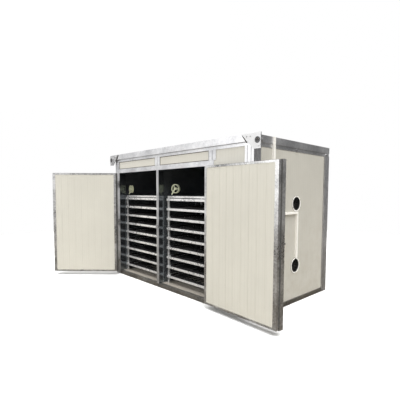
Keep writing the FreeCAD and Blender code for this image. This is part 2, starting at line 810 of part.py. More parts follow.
# ---- racks and trays -----------------------------------------------------------------------------
# A rack is drawn round its own middle, with the level bars' front face at Y zero and Z at the floor.
POST_OUT = "(level_bar_width / 2 - level_bar_overhang)"
POST_IN = "(level_bar_width / 2 - level_bar_overhang - rack_leg)"
POST_FRONT = "level_bar_depth"
RACK_BACK = "(level_bar_depth + rack_depth)"
RACK_RAIL_BOTTOM = "(first_level + (level_count - 1) * level_pitch + level_bar_height / 2 + rack_rail_gap)"
RACK_TOP = f"({RACK_RAIL_BOTTOM} + rack_rail_height)"
RUNNER_TOP = "(level_bar_height / 2 + tray_lift)"
TRAY_SIDE = f"({POST_IN} - runner_sheet - tray_side_gap)"
TRAY_BACK = f"({RACK_BACK} - tray_back_gap)"
RACK_MIDDLES = {
    "left": f"({BAY_1} + door_bay_width / 2 + left_rack_shift)",
    "right": f"({BAY_2} + door_bay_width / 2)",
}


def rack_posts():
    starts = (POST_FRONT, f"({POST_FRONT} + {RACK_BACK} - rack_leg) / 2", f"({RACK_BACK} - rack_leg)")
    rise = ("base_height", RACK_RAIL_BOTTOM)
    posts = [
        box(f"rack_post_{i}", (POST_IN, POST_OUT), (start, f"{start} + rack_leg"), rise)
        for i, start in enumerate(starts)
    ]
    return posts + [mirrored(f"{post.Name}_left", post) for post in posts]


def rack_rails():
    rise = (RACK_RAIL_BOTTOM, RACK_TOP)
    full = (f"-{POST_OUT}", POST_OUT)
    at_front = (POST_FRONT, f"{POST_FRONT} + rack_leg")
    at_rear = (f"{RACK_BACK} - rack_leg", RACK_BACK)
    front = box("rack_rail_front", full, at_front, rise)
    rear = box("rack_rail_rear", full, at_rear, rise)
    side = box("rack_rail_side", (POST_IN, POST_OUT), (at_front[1], at_rear[0]), rise)
    tie = box("rack_tie", (f"-{POST_IN}", POST_IN), at_rear,
              ("rack_tie_level", "rack_tie_level + rack_tie_height"))
    return [front, rear, side, mirrored("rack_rail_side_left", side), tie]


def level_bars():
    """A folded channel across the front posts at each level, open towards the rear."""
    half = "(level_bar_height / 2)"
    web, flange = ("level_bar_sheet", f"({half} - level_bar_sheet)")
    channel = extrusion("level_bar", "YZ_Plane", [
        (0, f"-{half}"), ("level_bar_depth", f"-{half}"), ("level_bar_depth", f"-{flange}"),
        (web, f"-{flange}"), (web, flange), ("level_bar_depth", flange), ("level_bar_depth", half), (0, half),
    ], "level_bar_width")
    place(channel, "-level_bar_width / 2", 0, 0)
    return [
        moved(f"level_bar_{level}", channel, z=f"first_level + {level} * level_pitch")
        for level in range(int(size("level_count")))
    ]


def rack_runners():
    """Angle runners on the inner faces of the posts, a pair under each tray."""
    angle = extrusion("runner", "XZ_Plane", [
        (f"{POST_IN} - runner_width", f"{RUNNER_TOP} - runner_sheet"),
        (POST_IN, f"{RUNNER_TOP} - runner_sheet"),
        (POST_IN, f"{RUNNER_TOP} - runner_sheet + runner_height"),
        (f"{POST_IN} - runner_sheet", f"{RUNNER_TOP} - runner_sheet + runner_height"),
        (f"{POST_IN} - runner_sheet", RUNNER_TOP), (f"{POST_IN} - runner_width", RUNNER_TOP),
    ], "rack_depth")
    place(angle, 0, RACK_BACK, 0)
    pair = (angle, mirrored("runner_left", angle))
    return [
        moved(f"runner_{side.Name}_{level}", side, z=f"first_level + {level} * level_pitch")
        for level in range(tray_count())
        for side in pair
    ]


def tray_count():
    """One tray above each level bar but the top one."""
    return int(size("level_count")) - 1


def tray_pieces():
    """Two side rails, a front rail with a grip lip, a back bar and slats for the eggs to lie on."""
    rise = (RUNNER_TOP, f"{RUNNER_TOP} + tray_rail_height")
    inside = f"({TRAY_SIDE} - tray_rail_width)"
    front_back = "(tray_front_gap + tray_rail_width)"
    rail = box("tray_rail", (inside, TRAY_SIDE), (front_back, TRAY_BACK), rise)
    corner = "tray_corner"
    front = extrusion("tray_front", "XY_Plane", [
        (f"-{TRAY_SIDE}", front_back), (f"-{TRAY_SIDE}", f"tray_front_gap + {corner}"),
        (f"-{TRAY_SIDE} + {corner}", "tray_front_gap"), (f"{TRAY_SIDE} - {corner}", "tray_front_gap"),
        (TRAY_SIDE, f"tray_front_gap + {corner}"), (TRAY_SIDE, front_back),
    ], "tray_rail_height")
    place(front, 0, 0, RUNNER_TOP)
    grip = box("tray_grip", ("-tray_grip_width / 2", "tray_grip_width / 2"),
               ("tray_front_gap", front_back), (rise[1], f"{rise[1]} + tray_grip_height"))
    back = box("tray_back", (f"-{inside}", inside), (f"{TRAY_BACK} - tray_rail_width", TRAY_BACK), rise)
    count = int(size("tray_slat_count"))
    deep = (front_back, f"{TRAY_BACK} - tray_rail_width")
    slats = []
    for i in range(1, count + 1):
        middle = f"({inside} * {2 * i / (count + 1) - 1})"
        across = (f"{middle} - tray_slat_width / 2", f"{middle} + tray_slat_width / 2")
        slats.append(box(f"tray_slat_{i}", across, deep, (RUNNER_TOP, f"{RUNNER_TOP} + tray_slat_height")))
    return [fuse("tray_front_piece", front, grip), rail, mirrored("tray_rail_left", rail), back, *slats]


def racks():
    frame = rack_posts() + rack_rails() + level_bars() + rack_runners()
    tray = tray_pieces()
    for name, middle in RACK_MIDDLES.items():
        place(node(f"rack_{name}", *frame), middle, f"{FRONT} + rack_setback", 0)
        for level in range(tray_count()):
            part = node(f"tray_{name}_{level + 1}", *tray)
            place(part, middle, f"{FRONT} + rack_setback", f"first_level + {level} * level_pitch")


# ---- fans ----------------------------------------------------------------------------------------
# A fan is drawn round the Z axis, blowing towards +Z, with its middle at Z zero and its motor below.
SHELL_INNER = "(fan_radius - fan_wall)"
MOTOR_START = "(-fan_length / 2)"


def blade_section(radius, chord, pitch):
    """A thin rectangle across the blade at a radius, turned to its pitch about the radius."""
    along = Vector(0, math.cos(math.radians(pitch)), math.sin(math.radians(pitch)))
    through = Vector(0, -along.z, along.y)
    middle = Vector(radius, 0, size("hub_length") / 2)
    half_chord, half_thickness = along * (chord / 2), through * (size("blade_thickness") / 2)
    corners = [
        middle - half_chord - half_thickness, middle + half_chord - half_thickness,
        middle + half_chord + half_thickness, middle - half_chord + half_thickness,
    ]
    return Part.makePolygon(corners + corners[:1])


def fan_rotor(name, tip):
    """Hub with a domed nose, a shaft stub behind it and twisted blades lofted from root to tip."""
    hub = revolved(f"{name}_hub", [
        (0, "-shaft_length"), ("shaft_radius", "-shaft_length"), ("shaft_radius", 0), ("hub_radius", 0),
        ("hub_radius", "hub_length - shaft_radius"), ("hub_radius - shaft_radius", "hub_length"),
        (0, "hub_length"),
    ])
    root_radius = size("hub_radius") - size("blade_bite")
    root = blade_section(root_radius, size("blade_root_chord"), size("blade_root_pitch"))
    end = blade_section(sheet_value(tip), size("blade_tip_chord"), size("blade_tip_pitch"))
    blade = Part.makeLoft([root, end], True)
    count = int(size("blade_count"))
    blades = []
    for i in range(count):
        piece = doc.addObject("Part::Feature", f"{name}_blade_{i}")
        piece.Shape = blade
        piece.Placement = Placement(Vector(), Rotation(Vector(0, 0, 1), i * 360 / count))
        blades.append(piece)
    return fuse(f"{name}_rotor_piece", hub, *blades)


def hub_start(motor_length):
    return f"({MOTOR_START} + {motor_length} + rotor_gap)"


def motor_and_arms(name, motor_length, reaches):
    """Round motor with a shaft bore, on flat arms of the given reaches and widths."""
    can = cylinder(f"{name}_can", "fan_motor_radius", motor_length, 0, 0, MOTOR_START)
    arms = []
    for i, (reach, width) in enumerate(reaches):
        arm = box(f"{name}_arm_{i}", (0, reach), (f"-{width} / 2", f"{width} / 2"),
                  (MOTOR_START, f"{MOTOR_START} + fan_arm_depth"))
        spread = doc.addObject("Part::Compound", f"{name}_arm_turned_{i}")
        spread.Links = [arm]
        arms.append(turn(spread, f"fan_prop_angle + {360 / len(reaches) * i}"))
    bore = cylinder(f"{name}_bore", "shaft_radius + shaft_clearance", "shaft_length", 0, 0,
                    f"{hub_start(motor_length)} - shaft_length - shaft_clearance")
    return can, arms, bore


def fan_shell():
    """A short duct with rolled lips and a motor on three arms; the widest arm reaches down to the foot."""
    duct = revolved("fan_duct", [
        (SHELL_INNER, MOTOR_START), ("fan_radius + fan_lip", MOTOR_START),
        ("fan_radius + fan_lip", f"{MOTOR_START} + fan_wall"), ("fan_radius", f"{MOTOR_START} + fan_wall"),
        ("fan_radius", "fan_length / 2 - fan_wall"), ("fan_radius + fan_lip", "fan_length / 2 - fan_wall"),
        ("fan_radius + fan_lip", "fan_length / 2"), (SHELL_INNER, "fan_length / 2"),
    ])
    short = ("fan_radius - fan_wall / 2", "fan_arm_width")
    reaches = (("fan_prop_reach", "fan_prop_width"), short, short)
    can, arms, bore = motor_and_arms("fan", "fan_motor_length", reaches)
    return cut("fan_shell", fuse("fan_shell_piece", duct, can, *arms), bore)


FAN_PLACES = {
    "left": (f"({BAY_1} + left_fan_foot_distance)", "left_fan_turn"),
    "right": (f"({BAY_2} + fan_foot_distance)", "right_fan_turn"),
}
STEM_FOOT = f"({RACK_TOP} + fan_foot_thickness + fan_boss_height + swivel_gap)"
STEM_X = "(fan_prop_reach * cos(fan_prop_angle))"
STEM_Y = "(fan_arm_depth / 2 - fan_length / 2)"


def fans():
    """Two fans that swivel in feet on the racks' top rails, each turned about its stem's upright axis."""
    shell = turn(moved("shell_upright", fan_shell()), -90, (1, 0, 0))
    stem_bottom = f"({STEM_FOOT} - fan_centre_height)"
    stem_top = "(-fan_prop_reach * sin(fan_prop_angle) + fan_prop_width / 2)"
    stem = cylinder("fan_stem", "fan_stem_radius", f"{stem_top} - {stem_bottom}", STEM_X, STEM_Y, stem_bottom)
    pin = cylinder("fan_pin", "fan_pin_radius", "fan_pin_length", STEM_X, STEM_Y,
                   f"{stem_bottom} - fan_pin_length")
    blades = moved("fan_rotor_out", fan_rotor("fan", f"({SHELL_INNER} - blade_tip_clearance)"),
                   z=hub_start("fan_motor_length"))
    rotor = turn(moved("fan_rotor_upright", blades), -90, (1, 0, 0))
    upright = {"shell": fuse("fan_on_stem", shell, stem, pin), "rotor": rotor}
    by_stem = {
        label: moved(f"fan_{label}_by_stem", piece, x=f"-{STEM_X}", y=f"-{STEM_Y}")
        for label, piece in upright.items()
    }
    feet = []
    for name, (x, angle) in FAN_PLACES.items():
        for label, piece in by_stem.items():
            part = node(f"fan_{name}_{label}", piece)
            place(turn(part, angle), x, f"{FRONT} + fan_foot_setback", "fan_centre_height")
        feet.append(fan_foot(name, x))
    node("fan_feet", *feet)


def fan_foot(name, x):
    y = f"({FRONT} + fan_foot_setback)"
    foot_top = f"({RACK_TOP} + fan_foot_thickness)"
    plate = box(f"foot_plate_{name}", (f"{x} - fan_foot_width / 2", f"{x} + fan_foot_width / 2"),
                (f"{y} - fan_foot_depth / 2", f"{y} + fan_foot_depth / 2"), (RACK_TOP, foot_top))
    boss = cylinder(f"foot_boss_{name}", "fan_boss_radius", "fan_boss_height", x, y, foot_top)
    bore = cylinder(f"foot_bore_{name}", "fan_pin_radius + shaft_clearance", "fan_boss_height", x, y,
                    foot_top)
    return cut(f"foot_{name}", fuse(f"foot_piece_{name}", plate, boss), bore)


def vents():
    """Two flanged sleeves through the right wall, each with a grille, a motor on arms and a rotor."""
    sleeve = revolved("vent_sleeve", [
        ("vent_radius", "panel_recess - wall_depth"), (SLEEVE_RADIUS, "panel_recess - wall_depth"),
        (SLEEVE_RADIUS, 0), ("vent_rim_radius", 0), ("vent_rim_radius", "vent_rim_thickness"),
        ("vent_radius", "vent_rim_thickness"),
    ])
    arm = ("vent_radius - sleeve_fit", "fan_arm_width")
    can, arms, bore = motor_and_arms("vent", "vent_motor_length", (arm, arm, arm))
    slats = []
    count = int(size("guard_slat_count"))
    round_hole = cylinder("guard_disc", "vent_radius - sleeve_fit", "guard_depth", 0, 0, "-guard_depth")
    for i in range(count):
        middle = f"(vent_radius * {(2 * i + 2) / (count + 1) - 1})"
        slat = box(f"guard_slat_{i}", (f"{middle} - guard_slat / 2", f"{middle} + guard_slat / 2"),
                   ("-vent_radius", "vent_radius"), ("-guard_depth", 0))
        trimmed = doc.addObject("Part::Common", f"guard_slat_trimmed_{i}")
        trimmed.Base, trimmed.Tool = slat, round_hole
        slats.append(trimmed)
    bored = cut("vent_motor", fuse("vent_motor_piece", can, *arms), bore)
    motor = moved("vent_motor_back", bored, z=VENT_MIDDLE)
    rotor = moved("vent_rotor_back", fan_rotor("vent", "(vent_radius - blade_tip_clearance)"),
                  z=f"{VENT_MIDDLE} + {hub_start('vent_motor_length')}")
    sleeves, motors = [], []
    for name, level in VENT_LEVELS.items():
        for kind, pieces, group in (("sleeve", [sleeve], sleeves), ("motor", [motor, *slats], motors)):
            outward = doc.addObject("Part::Compound", f"vent_{kind}_{name}")
            outward.Links = pieces
            group.append(at_vent(outward, level))
        at_vent(node(f"vent_rotor_{name}", rotor), level)
    node("vent_sleeves", *sleeves)
    node("vent_motors", *motors)


VENT_MIDDLE = "(-guard_depth - rotor_gap - hub_length - vent_motor_length - rotor_gap + fan_length / 2)"


def at_vent(part, level):
    """Turns a piece from +Z to +X and sets it on the right panel's outer face."""
    return place(turn(part, 90, (0, 1, 0)), f"{RIGHT} - panel_recess", f"{FRONT} + vent_setback", level)


# ---- outside fittings ----------------------------------------------------------------------------
def cable_trunking():
    """Rigid duct from the roof edge down the right wall to both vents, notched over the top rail."""
    face = f"({RIGHT} - panel_recess)"
    outer = f"({face} + trunk_depth)"
    start = f"({FRONT} + trunk_setback - trunk_width / 2)"
    end = f"({start} + trunk_width)"
    drop = (f"{FRONT} + vent_setback - drop_width / 2", f"{FRONT} + vent_setback + drop_width / 2")
    main = fuse("trunk_main",
                box("trunk_low", (face, outer), (start, end), ("run_level", LIP_TOP)),
                box("trunk_high", (RIGHT, outer), (start, end), (LIP_TOP, TOP)))
    run = box("trunk_run", (face, outer), (end, drop[0]), ("run_level", "run_level + run_height"))
    fall = box("trunk_drop", (face, outer), drop,
               ("lower_vent_height + vent_rim_radius + trunk_end_gap",
                "upper_vent_height - vent_rim_radius - trunk_end_gap"))
    node("cable_trunking", main, run, fall)


def lifting_ears():
    """Bolted plates on the front rail's corners, each with a padded and sleeved eye beyond the side."""
    outline_points = [
        ("ear_foot_inset", "ear_foot_level"), ("ear_reach", "ear_foot_level"),
        ("ear_reach", f"{TOP} - ear_top_drop"), ("-ear_top_inset", f"{TOP} - ear_top_drop"),
    ]
    plate = extrusion("ear", "XZ_Plane", outline_points, "ear_thickness")
    pad_limit = extrusion("ear_pad_limit", "XZ_Plane", outline_points, "ear_thickness + ear_pad_thickness")
    face = f"({FRONT} - rail_proud - ear_thickness)"
    for thing in (plate, pad_limit):
        place(thing, RIGHT, f"{FRONT} - rail_proud", 0)
    disc = eye_cylinder("ear_pad_disc", "ear_pad_radius", f"{face} - ear_pad_thickness", "ear_pad_thickness")
    pad = doc.addObject("Part::Common", "ear_pad")
    pad.Base, pad.Tool = disc, pad_limit
    sleeve = eye_cylinder("ear_sleeve", "ear_hole_radius + ear_sleeve_wall", f"{FRONT} - rail_proud",
                          "ear_sleeve_length")
    eye = eye_cylinder("ear_eye", "ear_hole_radius", f"{face} - ear_pad_thickness",
                       "ear_pad_thickness + ear_thickness + ear_sleeve_length")
    bolts = [
        cylinder(f"ear_bolt_{i}", "ear_bolt_radius", "ear_bolt_head",
                 f"{RIGHT} - ear_bolt_inset - {i} * ear_bolt_pitch", f"{face} - ear_bolt_head",
                 f"{TOP} - ear_bolt_drop", along="y")
        for i in range(2)
    ]
    right = [cut("ear_plate", fuse("ear_piece", plate, pad, sleeve), eye), *bolts]
    node("lifting_ears", *right, *(mirrored(f"{item.Name}_left", item) for item in right))


def eye_cylinder(name, radius, y, length):
    return cylinder(name, radius, length, f"{RIGHT} + ear_hole_reach", y, "ear_hole_level", along="y")


# ---- plenum fittings -----------------------------------------------------------------------------
def heater_bank():
    """Hairpin heating tubes on a plate that is fixed to the plenum wall."""
    plate_face = f"({BAY_3} + heater_plate)"
    y = f"({FRONT} + heater_setback)"
    rise = ("heater_level - heater_pitch", "heater_level + heater_count * heater_pitch")
    plate = box("heater_board", (BAY_3, plate_face), (f"{y} - heater_bend", f"{y} + heater_bend"), rise)
    tubes = []
    for i in range(int(size("heater_count"))):
        level = f"heater_level + {i} * heater_pitch"
        legs = [
            cylinder(f"heater_leg_{i}_{side}", "heater_radius", "heater_reach", plate_face,
                     f"{y} {side} heater_bend / 2", level, along="x")
            for side in "+-"
        ]
        bend = doc.addObject("Part::Torus", f"heater_bend_{i}")
        bind(bend, "Radius1", "heater_bend / 2")
        bind(bend, "Radius2", "heater_radius")
        bend.Angle3 = 180
        bend.Placement = Placement(Vector(), Rotation(Vector(0, 0, 1), -90))
        place(bend, f"{plate_face} + heater_reach", y, level)
        tubes.append(fuse(f"heater_tube_{i}", *legs, bend))
    node("heater_bank", plate, *tubes)


def humidifier_pan():
    """An open water pan on the plenum floor."""
    x = f"(({BAY_3} + {RIGHT} - wall_depth) / 2)"
    y = f"({FRONT} + heater_setback)"
    low_x, high_x = (f"({x} - pan_width / 2)", f"({x} + pan_width / 2)")
    low_y, high_y = (f"({y} - pan_length / 2)", f"({y} + pan_length / 2)")
    walls = ("base_height + pan_sheet", "base_height + pan_height")
    inner_x = (f"{low_x} + pan_sheet", f"{high_x} - pan_sheet")
    node("humidifier_pan",
         box("pan_floor", (low_x, high_x), (low_y, high_y), ("base_height", "base_height + pan_sheet")),
         box("pan_left", (low_x, f"{low_x} + pan_sheet"), (low_y, high_y), walls),
         box("pan_right", (f"{high_x} - pan_sheet", high_x), (low_y, high_y), walls),
         box("pan_front", inner_x, (low_y, f"{low_y} + pan_sheet"), walls),
         box("pan_rear", inner_x, (f"{high_y} - pan_sheet", high_y), walls))


def temperature_probes():
    """One capped probe hanging from the ceiling of each egg bay."""
    probes = []
    for name, middle in RACK_MIDDLES.items():
        y = f"{FRONT} + probe_setback"
        cap = cylinder(f"probe_cap_{name}", "probe_cap_radius", "probe_cap_length", middle, y,
                       f"{CEILING} - probe_cap_length")
        rod = cylinder(f"probe_rod_{name}", "probe_radius", "probe_length", middle, y,
                       f"{CEILING} - probe_cap_length - probe_length")
        probes.append(fuse(f"probe_{name}", cap, rod))
    node("temperature_probes", *probes)


# ---- build and export ----------------------------------------------------------------------------
SECTIONS = (
    base_frame, corner_posts, roof_frame, door_surround, frieze_panels, side_panels, wide_panels,
    floor_panels, partitions, control_bay_panel, controls, doors, latch_keepers, racks, fans, vents,
    cable_trunking, lifting_ears, heater_bank, humidifier_pan, temperature_probes,
)


def check():
    for thing in doc.Objects:
        if {"Invalid", "Error"} & set(thing.State):
            raise RuntimeError(f"{thing.Name} failed: {thing.State}")
    for part in NODES:
        if part.Shape.isNull() or not part.Shape.isValid() or not part.Shape.Solids:
            raise RuntimeError(f"{part.Label} has no valid solid")


def export():
    os.makedirs("parts", exist_ok=True)
    for part in NODES:
        part.Shape.exportStep(f"parts/{part.Label}.step")


for section in SECTIONS:
    section()
doc.recompute()
check()
export()
print(f"{len(NODES)} nodes, {sum(len(part.Shape.Solids) for part in NODES)} solids")
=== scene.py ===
"""Looks of the walk-in egg incubator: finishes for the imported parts, and the small fittings round them."""
import json
import math

import bmesh
import bpy
from mathutils import Matrix, Vector


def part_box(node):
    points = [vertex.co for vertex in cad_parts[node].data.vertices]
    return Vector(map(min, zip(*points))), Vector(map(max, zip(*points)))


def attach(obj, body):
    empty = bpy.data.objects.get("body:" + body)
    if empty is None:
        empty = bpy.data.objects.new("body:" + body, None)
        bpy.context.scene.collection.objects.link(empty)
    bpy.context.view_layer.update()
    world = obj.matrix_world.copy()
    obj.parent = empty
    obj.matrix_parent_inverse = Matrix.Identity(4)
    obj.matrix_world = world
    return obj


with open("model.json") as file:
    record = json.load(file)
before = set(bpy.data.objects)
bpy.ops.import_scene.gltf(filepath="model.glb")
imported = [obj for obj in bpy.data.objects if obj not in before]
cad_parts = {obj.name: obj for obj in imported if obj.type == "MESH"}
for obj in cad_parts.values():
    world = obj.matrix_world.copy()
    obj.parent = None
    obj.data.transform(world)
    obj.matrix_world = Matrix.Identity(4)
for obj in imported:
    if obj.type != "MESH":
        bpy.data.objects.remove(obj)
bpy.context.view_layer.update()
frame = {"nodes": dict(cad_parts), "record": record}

NODES = frame["nodes"]

POSTS_LOW, POSTS_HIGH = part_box("corner_posts")
RAIL_LOW, RAIL_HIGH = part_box("roof_frame")
CABINET_RIGHT, CABINET_FRONT = POSTS_HIGH.x, POSTS_LOW.y
RIGHT_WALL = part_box("side_panel_right")[1].x
FOLD = 0.001                 # a sheet fold, the smallest step on the profiles
LINING_DEPTH = 0.05          # how far inside the outer faces the lining starts
# near-black inside the cabinet: painted shade for the unlit interior, on a glossy metal lining
SHADED_LINING_TONE = (0.20, 0.22, 0.235, 1)
LINING_METAL = 0.75
LINING_ROUGH = 0.14
LINING_SHADE = 0.8
PAINT_SHADE = 0.95           # how much darker the paint's patches are
ZINC_GRIME = (0.28, 0.24, 0.185, 1)
# the panel skin darkens to this low down: painted shade on the lower walls, mixed with dust
PANEL_GRIME_AND_SHADE = (0.42, 0.38, 0.31, 1)
GREY_DUST = (0.36, 0.33, 0.28, 1)
ROLL_SHADOW = (0.2, 0.19, 0.17, 1)
SMOOTH_UNDER = math.radians(40)


# ---- camera and lights ------------------------------------------------------------------------------
CAMERA_BESIDE = 2.363        # beyond the right wall
CAMERA_BEFORE = 3.036        # before the front
CAMERA_HEIGHT = 1.519
CAMERA_AZIMUTH = 47.11       # to the left of straight at the front, degrees
CAMERA_TILT = -3.73
CAMERA_ROLL = -0.2
LENS = 29.5
LENS_SHIFT_Y = 0.0346


def place_camera():
    """A camera at eye height, beyond the right front corner, looking across both doorways."""
    camera = bpy.data.objects.new("camera", bpy.data.cameras.new("camera"))
    bpy.context.scene.collection.objects.link(camera)
    camera.location = (CABINET_RIGHT + CAMERA_BESIDE, CABINET_FRONT - CAMERA_BEFORE, CAMERA_HEIGHT)
    azimuth, tilt = math.radians(CAMERA_AZIMUTH), math.radians(CAMERA_TILT)
    look = Vector((-math.sin(azimuth) * math.cos(tilt), math.cos(azimuth) * math.cos(tilt), math.sin(tilt)))
    aim = look.to_track_quat("-Z", "Y").to_matrix()
    roll = Matrix.Rotation(math.radians(CAMERA_ROLL), 3, look)
    camera.rotation_euler = (roll @ aim).to_euler()
    camera.data.lens = LENS
    camera.data.shift_y = LENS_SHIFT_Y
    bpy.context.scene.camera = camera


# ---- node helpers -----------------------------------------------------------------------------------
class Wiring:
    """Adds nodes to one tree. A socket takes a number, a colour or another node's output."""

    def __init__(self, tree):
        self.tree = tree

    def add(self, kind, sockets=None, **settings):
        item = self.tree.nodes.new(kind)
        for name, value in settings.items():
            setattr(item, name, value)
        for name, value in (sockets or {}).items():
            if isinstance(value, bpy.types.NodeSocket):
                self.tree.links.new(value, item.inputs[name])
            else:
                item.inputs[name].default_value = value
        return item

    def patches(self, vector, scale, detail=5.0, roughness=0.6):
        """Soft patches, as a plain value and as a mask held between 0 and 1."""
        plain = self.noise(vector, scale, detail, roughness)
        return plain, self.span(plain, 0.35, 0.65)

    def math(self, operation, first, second=0.0, clamp=False):
        item = self.add("ShaderNodeMath", {0: first, 1: second}, operation=operation, use_clamp=clamp)
        return item.outputs[0]

    def span(self, value, low, high, to_low=0.0, to_high=1.0):
        """Maps a value from one range to another, held at the ends. The ends may be values themselves."""
        return self.add("ShaderNodeMapRange", {0: value, 1: low, 2: high, 3: to_low, 4: to_high}).outputs[0]

    def noise(self, vector, scale, detail=4.0, roughness=0.55):
        return self.texture(vector, scale, Detail=detail, Roughness=roughness)["Fac"]

    def texture(self, vector, scale, **sockets):
        return self.add("ShaderNodeTexNoise", {"Vector": vector, "Scale": scale, **sockets}).outputs

    def vector_math(self, operation, first, second):
        return self.add("ShaderNodeVectorMath", {0: first, 1: second}, operation=operation).outputs

    def blend(self, factor, first, second):
        """A colour between two, by a factor."""
        item = self.add("ShaderNodeMix", {0: factor, 6: first, 7: second}, data_type="RGBA")
        return item.outputs[2]

    def parts(self, vector):
        return self.add("ShaderNodeSeparateXYZ", {0: vector}).outputs


def new_group(name, inputs, outputs):
    """An empty shader group, with its wiring, its input sockets by name and its output node."""
    group = bpy.data.node_groups.new(name, "ShaderNodeTree")
    for label, kind in inputs:
        group.interface.new_socket(label, in_out="INPUT", socket_type=f"NodeSocket{kind}")
    for label, kind in outputs:
        group.interface.new_socket(label, in_out="OUTPUT", socket_type=f"NodeSocket{kind}")
    wiring = Wiring(group)
    return group, wiring, wiring.add("NodeGroupInput").outputs, wiring.add("NodeGroupOutput").inputs


def fill(wiring, outputs, **values):
    for name, socket in values.items():
        wiring.tree.links.new(socket, outputs[name])


def zinc_group():
    """Hot-dip zinc: spangle crystals of differing tone under broad cloudy patches."""
    wobble_scale, wobble_reach, crystal_height = 60.0, 0.012, 0.3
    group, w, given, out = new_group(
        "zinc spangle", [("Vector", "Vector"), ("Crystal scale", "Float"), ("Cloud scale", "Float")],
        [("Crystal", "Float"), ("Cloud", "Float"), ("Height", "Float")])
    wobble = w.texture(given["Vector"], wobble_scale, Detail=2.0)["Color"]
    bent = w.vector_math("MULTIPLY", wobble, (wobble_reach,) * 3)[0]
    moved = w.vector_math("ADD", given["Vector"], bent)[0]
    cells = w.add("ShaderNodeTexVoronoi", {"Vector": moved, "Scale": given["Crystal scale"]})
    crystal = w.parts(cells.outputs["Color"])[0]
    cloud = w.noise(given["Vector"], given["Cloud scale"], 5.0, 0.62)
    height = w.math("MULTIPLY", crystal, crystal_height)
    fill(w, out, Crystal=crystal, Cloud=w.span(cloud, 0.34, 0.66), Height=height)
    return group


def shaded_inside_group():
    """1 on the faces that look into the cabinet, 0 on its outside."""
    group, w, given, out = new_group("inside the cabinet", [("Vector", "Vector")], [("Mask", "Float")])
    x, y, z = [
        w.math("LESS_THAN", w.math("ABSOLUTE", value), outside - LINING_DEPTH)
        for value, outside in zip(w.parts(given["Vector"]), (POSTS_HIGH.x, POSTS_HIGH.y, RAIL_HIGH.z))
    ]
    fill(w, out, Mask=w.math("MULTIPLY", w.math("MULTIPLY", x, y), z))
    return group


def doorway_group():
    """1 on the sides of the doorways and the mullions, behind their front faces."""
    group, w, given, out = new_group("side of a doorway", [("Vector", "Vector")], [("Mask", "Float")])
    x, y, z = w.parts(given["Vector"])
    between = w.math("LESS_THAN", w.math("ABSOLUTE", x), abs(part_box("door_surround")[0].x) + FOLD)
    front_face_depth = 7 * FOLD
    behind = w.math("GREATER_THAN", y, CABINET_FRONT + front_face_depth)
    below = w.math("LESS_THAN", z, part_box("partitions")[1].z)
    fill(w, out, Mask=w.math("MULTIPLY", w.math("MULTIPLY", between, behind), below))
    return group


def dust_and_low_shade_group():
    """Darkening low down and in soft patches: dust, and on the panel skin painted shade low on the walls."""
    group, w, given, out = new_group(
        "dust", [("Vector", "Vector"), ("Reach", "Float"), ("Amount", "Float")], [("Mask", "Float")])
    z = w.parts(given["Vector"])[2]
    low = w.math("SUBTRACT", 1.0, w.math("DIVIDE", z, given["Reach"]), clamp=True)
    patch = w.span(w.noise(given["Vector"], 9.0, 6.0, 0.65), 0.38, 0.7)
    everywhere = 0.15
    spread = w.math("ADD", w.math("MULTIPLY", low, patch), w.math("MULTIPLY", patch, everywhere))
    fill(w, out, Mask=w.math("MULTIPLY", spread, given["Amount"], clamp=True))
    return group


ZINC, SHADED_INSIDE, DOORWAY, DUST_AND_LOW_SHADE = zinc_group(), shaded_inside_group(), doorway_group(), dust_and_low_shade_group()


def start_material(name, metallic=0.0, **shader):
    """A material, with its wiring, its shader's sockets and the object's own coordinates."""
    material = bpy.data.materials.new(name)
    material.use_nodes = True
    w = Wiring(material.node_tree)
    principled = material.node_tree.nodes["Principled BSDF"]
    principled.inputs["Metallic"].default_value = metallic
    for label, value in shader.items():
        principled.inputs[label.replace("_", " ")].default_value = value
    place = w.add("ShaderNodeTexCoord").outputs["Object"]
    return material, w, principled.inputs, place


def use_group(w, group, **sockets):
    """A shader group placed in a material, with its inputs set or linked."""
    item = w.add("ShaderNodeGroup", node_tree=group)
    for name, value in sockets.items():
        socket = item.inputs[name.replace("_", " ")]
        if isinstance(value, bpy.types.NodeSocket):
            w.tree.links.new(value, socket)
        else:
            socket.default_value = value
    return item.outputs


def bump(w, height, distance, strength):
    return w.add("ShaderNodeBump", {"Height": height, "Distance": distance, "Strength": strength}).outputs[0]


def darker(colour, factor):
    return tuple(value * factor for value in colour[:3]) + (1,)


def wire(w, inputs, **sockets):
    for name, value in sockets.items():
        w.tree.links.new(value, inputs[name.replace("_", " ")])


def galvanised_sheet(name, dark, light, crystal_scale=55.0, rough=(0.28, 0.5), metallic=0.92, shaded_in_doorways=False,
                     crystal=0.45, dirt_and_shade=(0.5, 0.5)):
    """Zinc-coated steel. Where it faces into a doorway, a profile can be made near-black and glossy: painted
    shade, standing for the dark interior it faces and reflects.
    """
    material, w, shader, place = start_material(name, metallic)
    zinc = use_group(w, ZINC, Vector=place, Crystal_scale=crystal_scale, Cloud_scale=3.2)
    spangle = w.math("MULTIPLY", zinc["Crystal"], crystal)
    tone = w.math("ADD", spangle, w.math("MULTIPLY", zinc["Cloud"], 1 - crystal))
    grime_and_shade = use_group(w, DUST_AND_LOW_SHADE, Vector=place, Reach=dirt_and_shade[0], Amount=dirt_and_shade[1])["Mask"]
    colour = w.blend(grime_and_shade, w.blend(tone, dark, light), ZINC_GRIME)
    roughness = w.span(w.math("ADD", tone, grime_and_shade), 0.0, 1.2, *rough)
    # painted shade: the sides of the doorways take the near-black, glossy lining tone
    if shaded_in_doorways:
        side = use_group(w, DOORWAY, Vector=place)["Mask"]
        colour = w.blend(side, colour, SHADED_LINING_TONE)
        roughness = w.span(side, 0.0, 1.0, roughness, LINING_ROUGH)
    wire(w, shader, Base_Color=colour, Roughness=roughness, Normal=bump(w, zinc["Height"], 0.0006, 0.5))
    return material


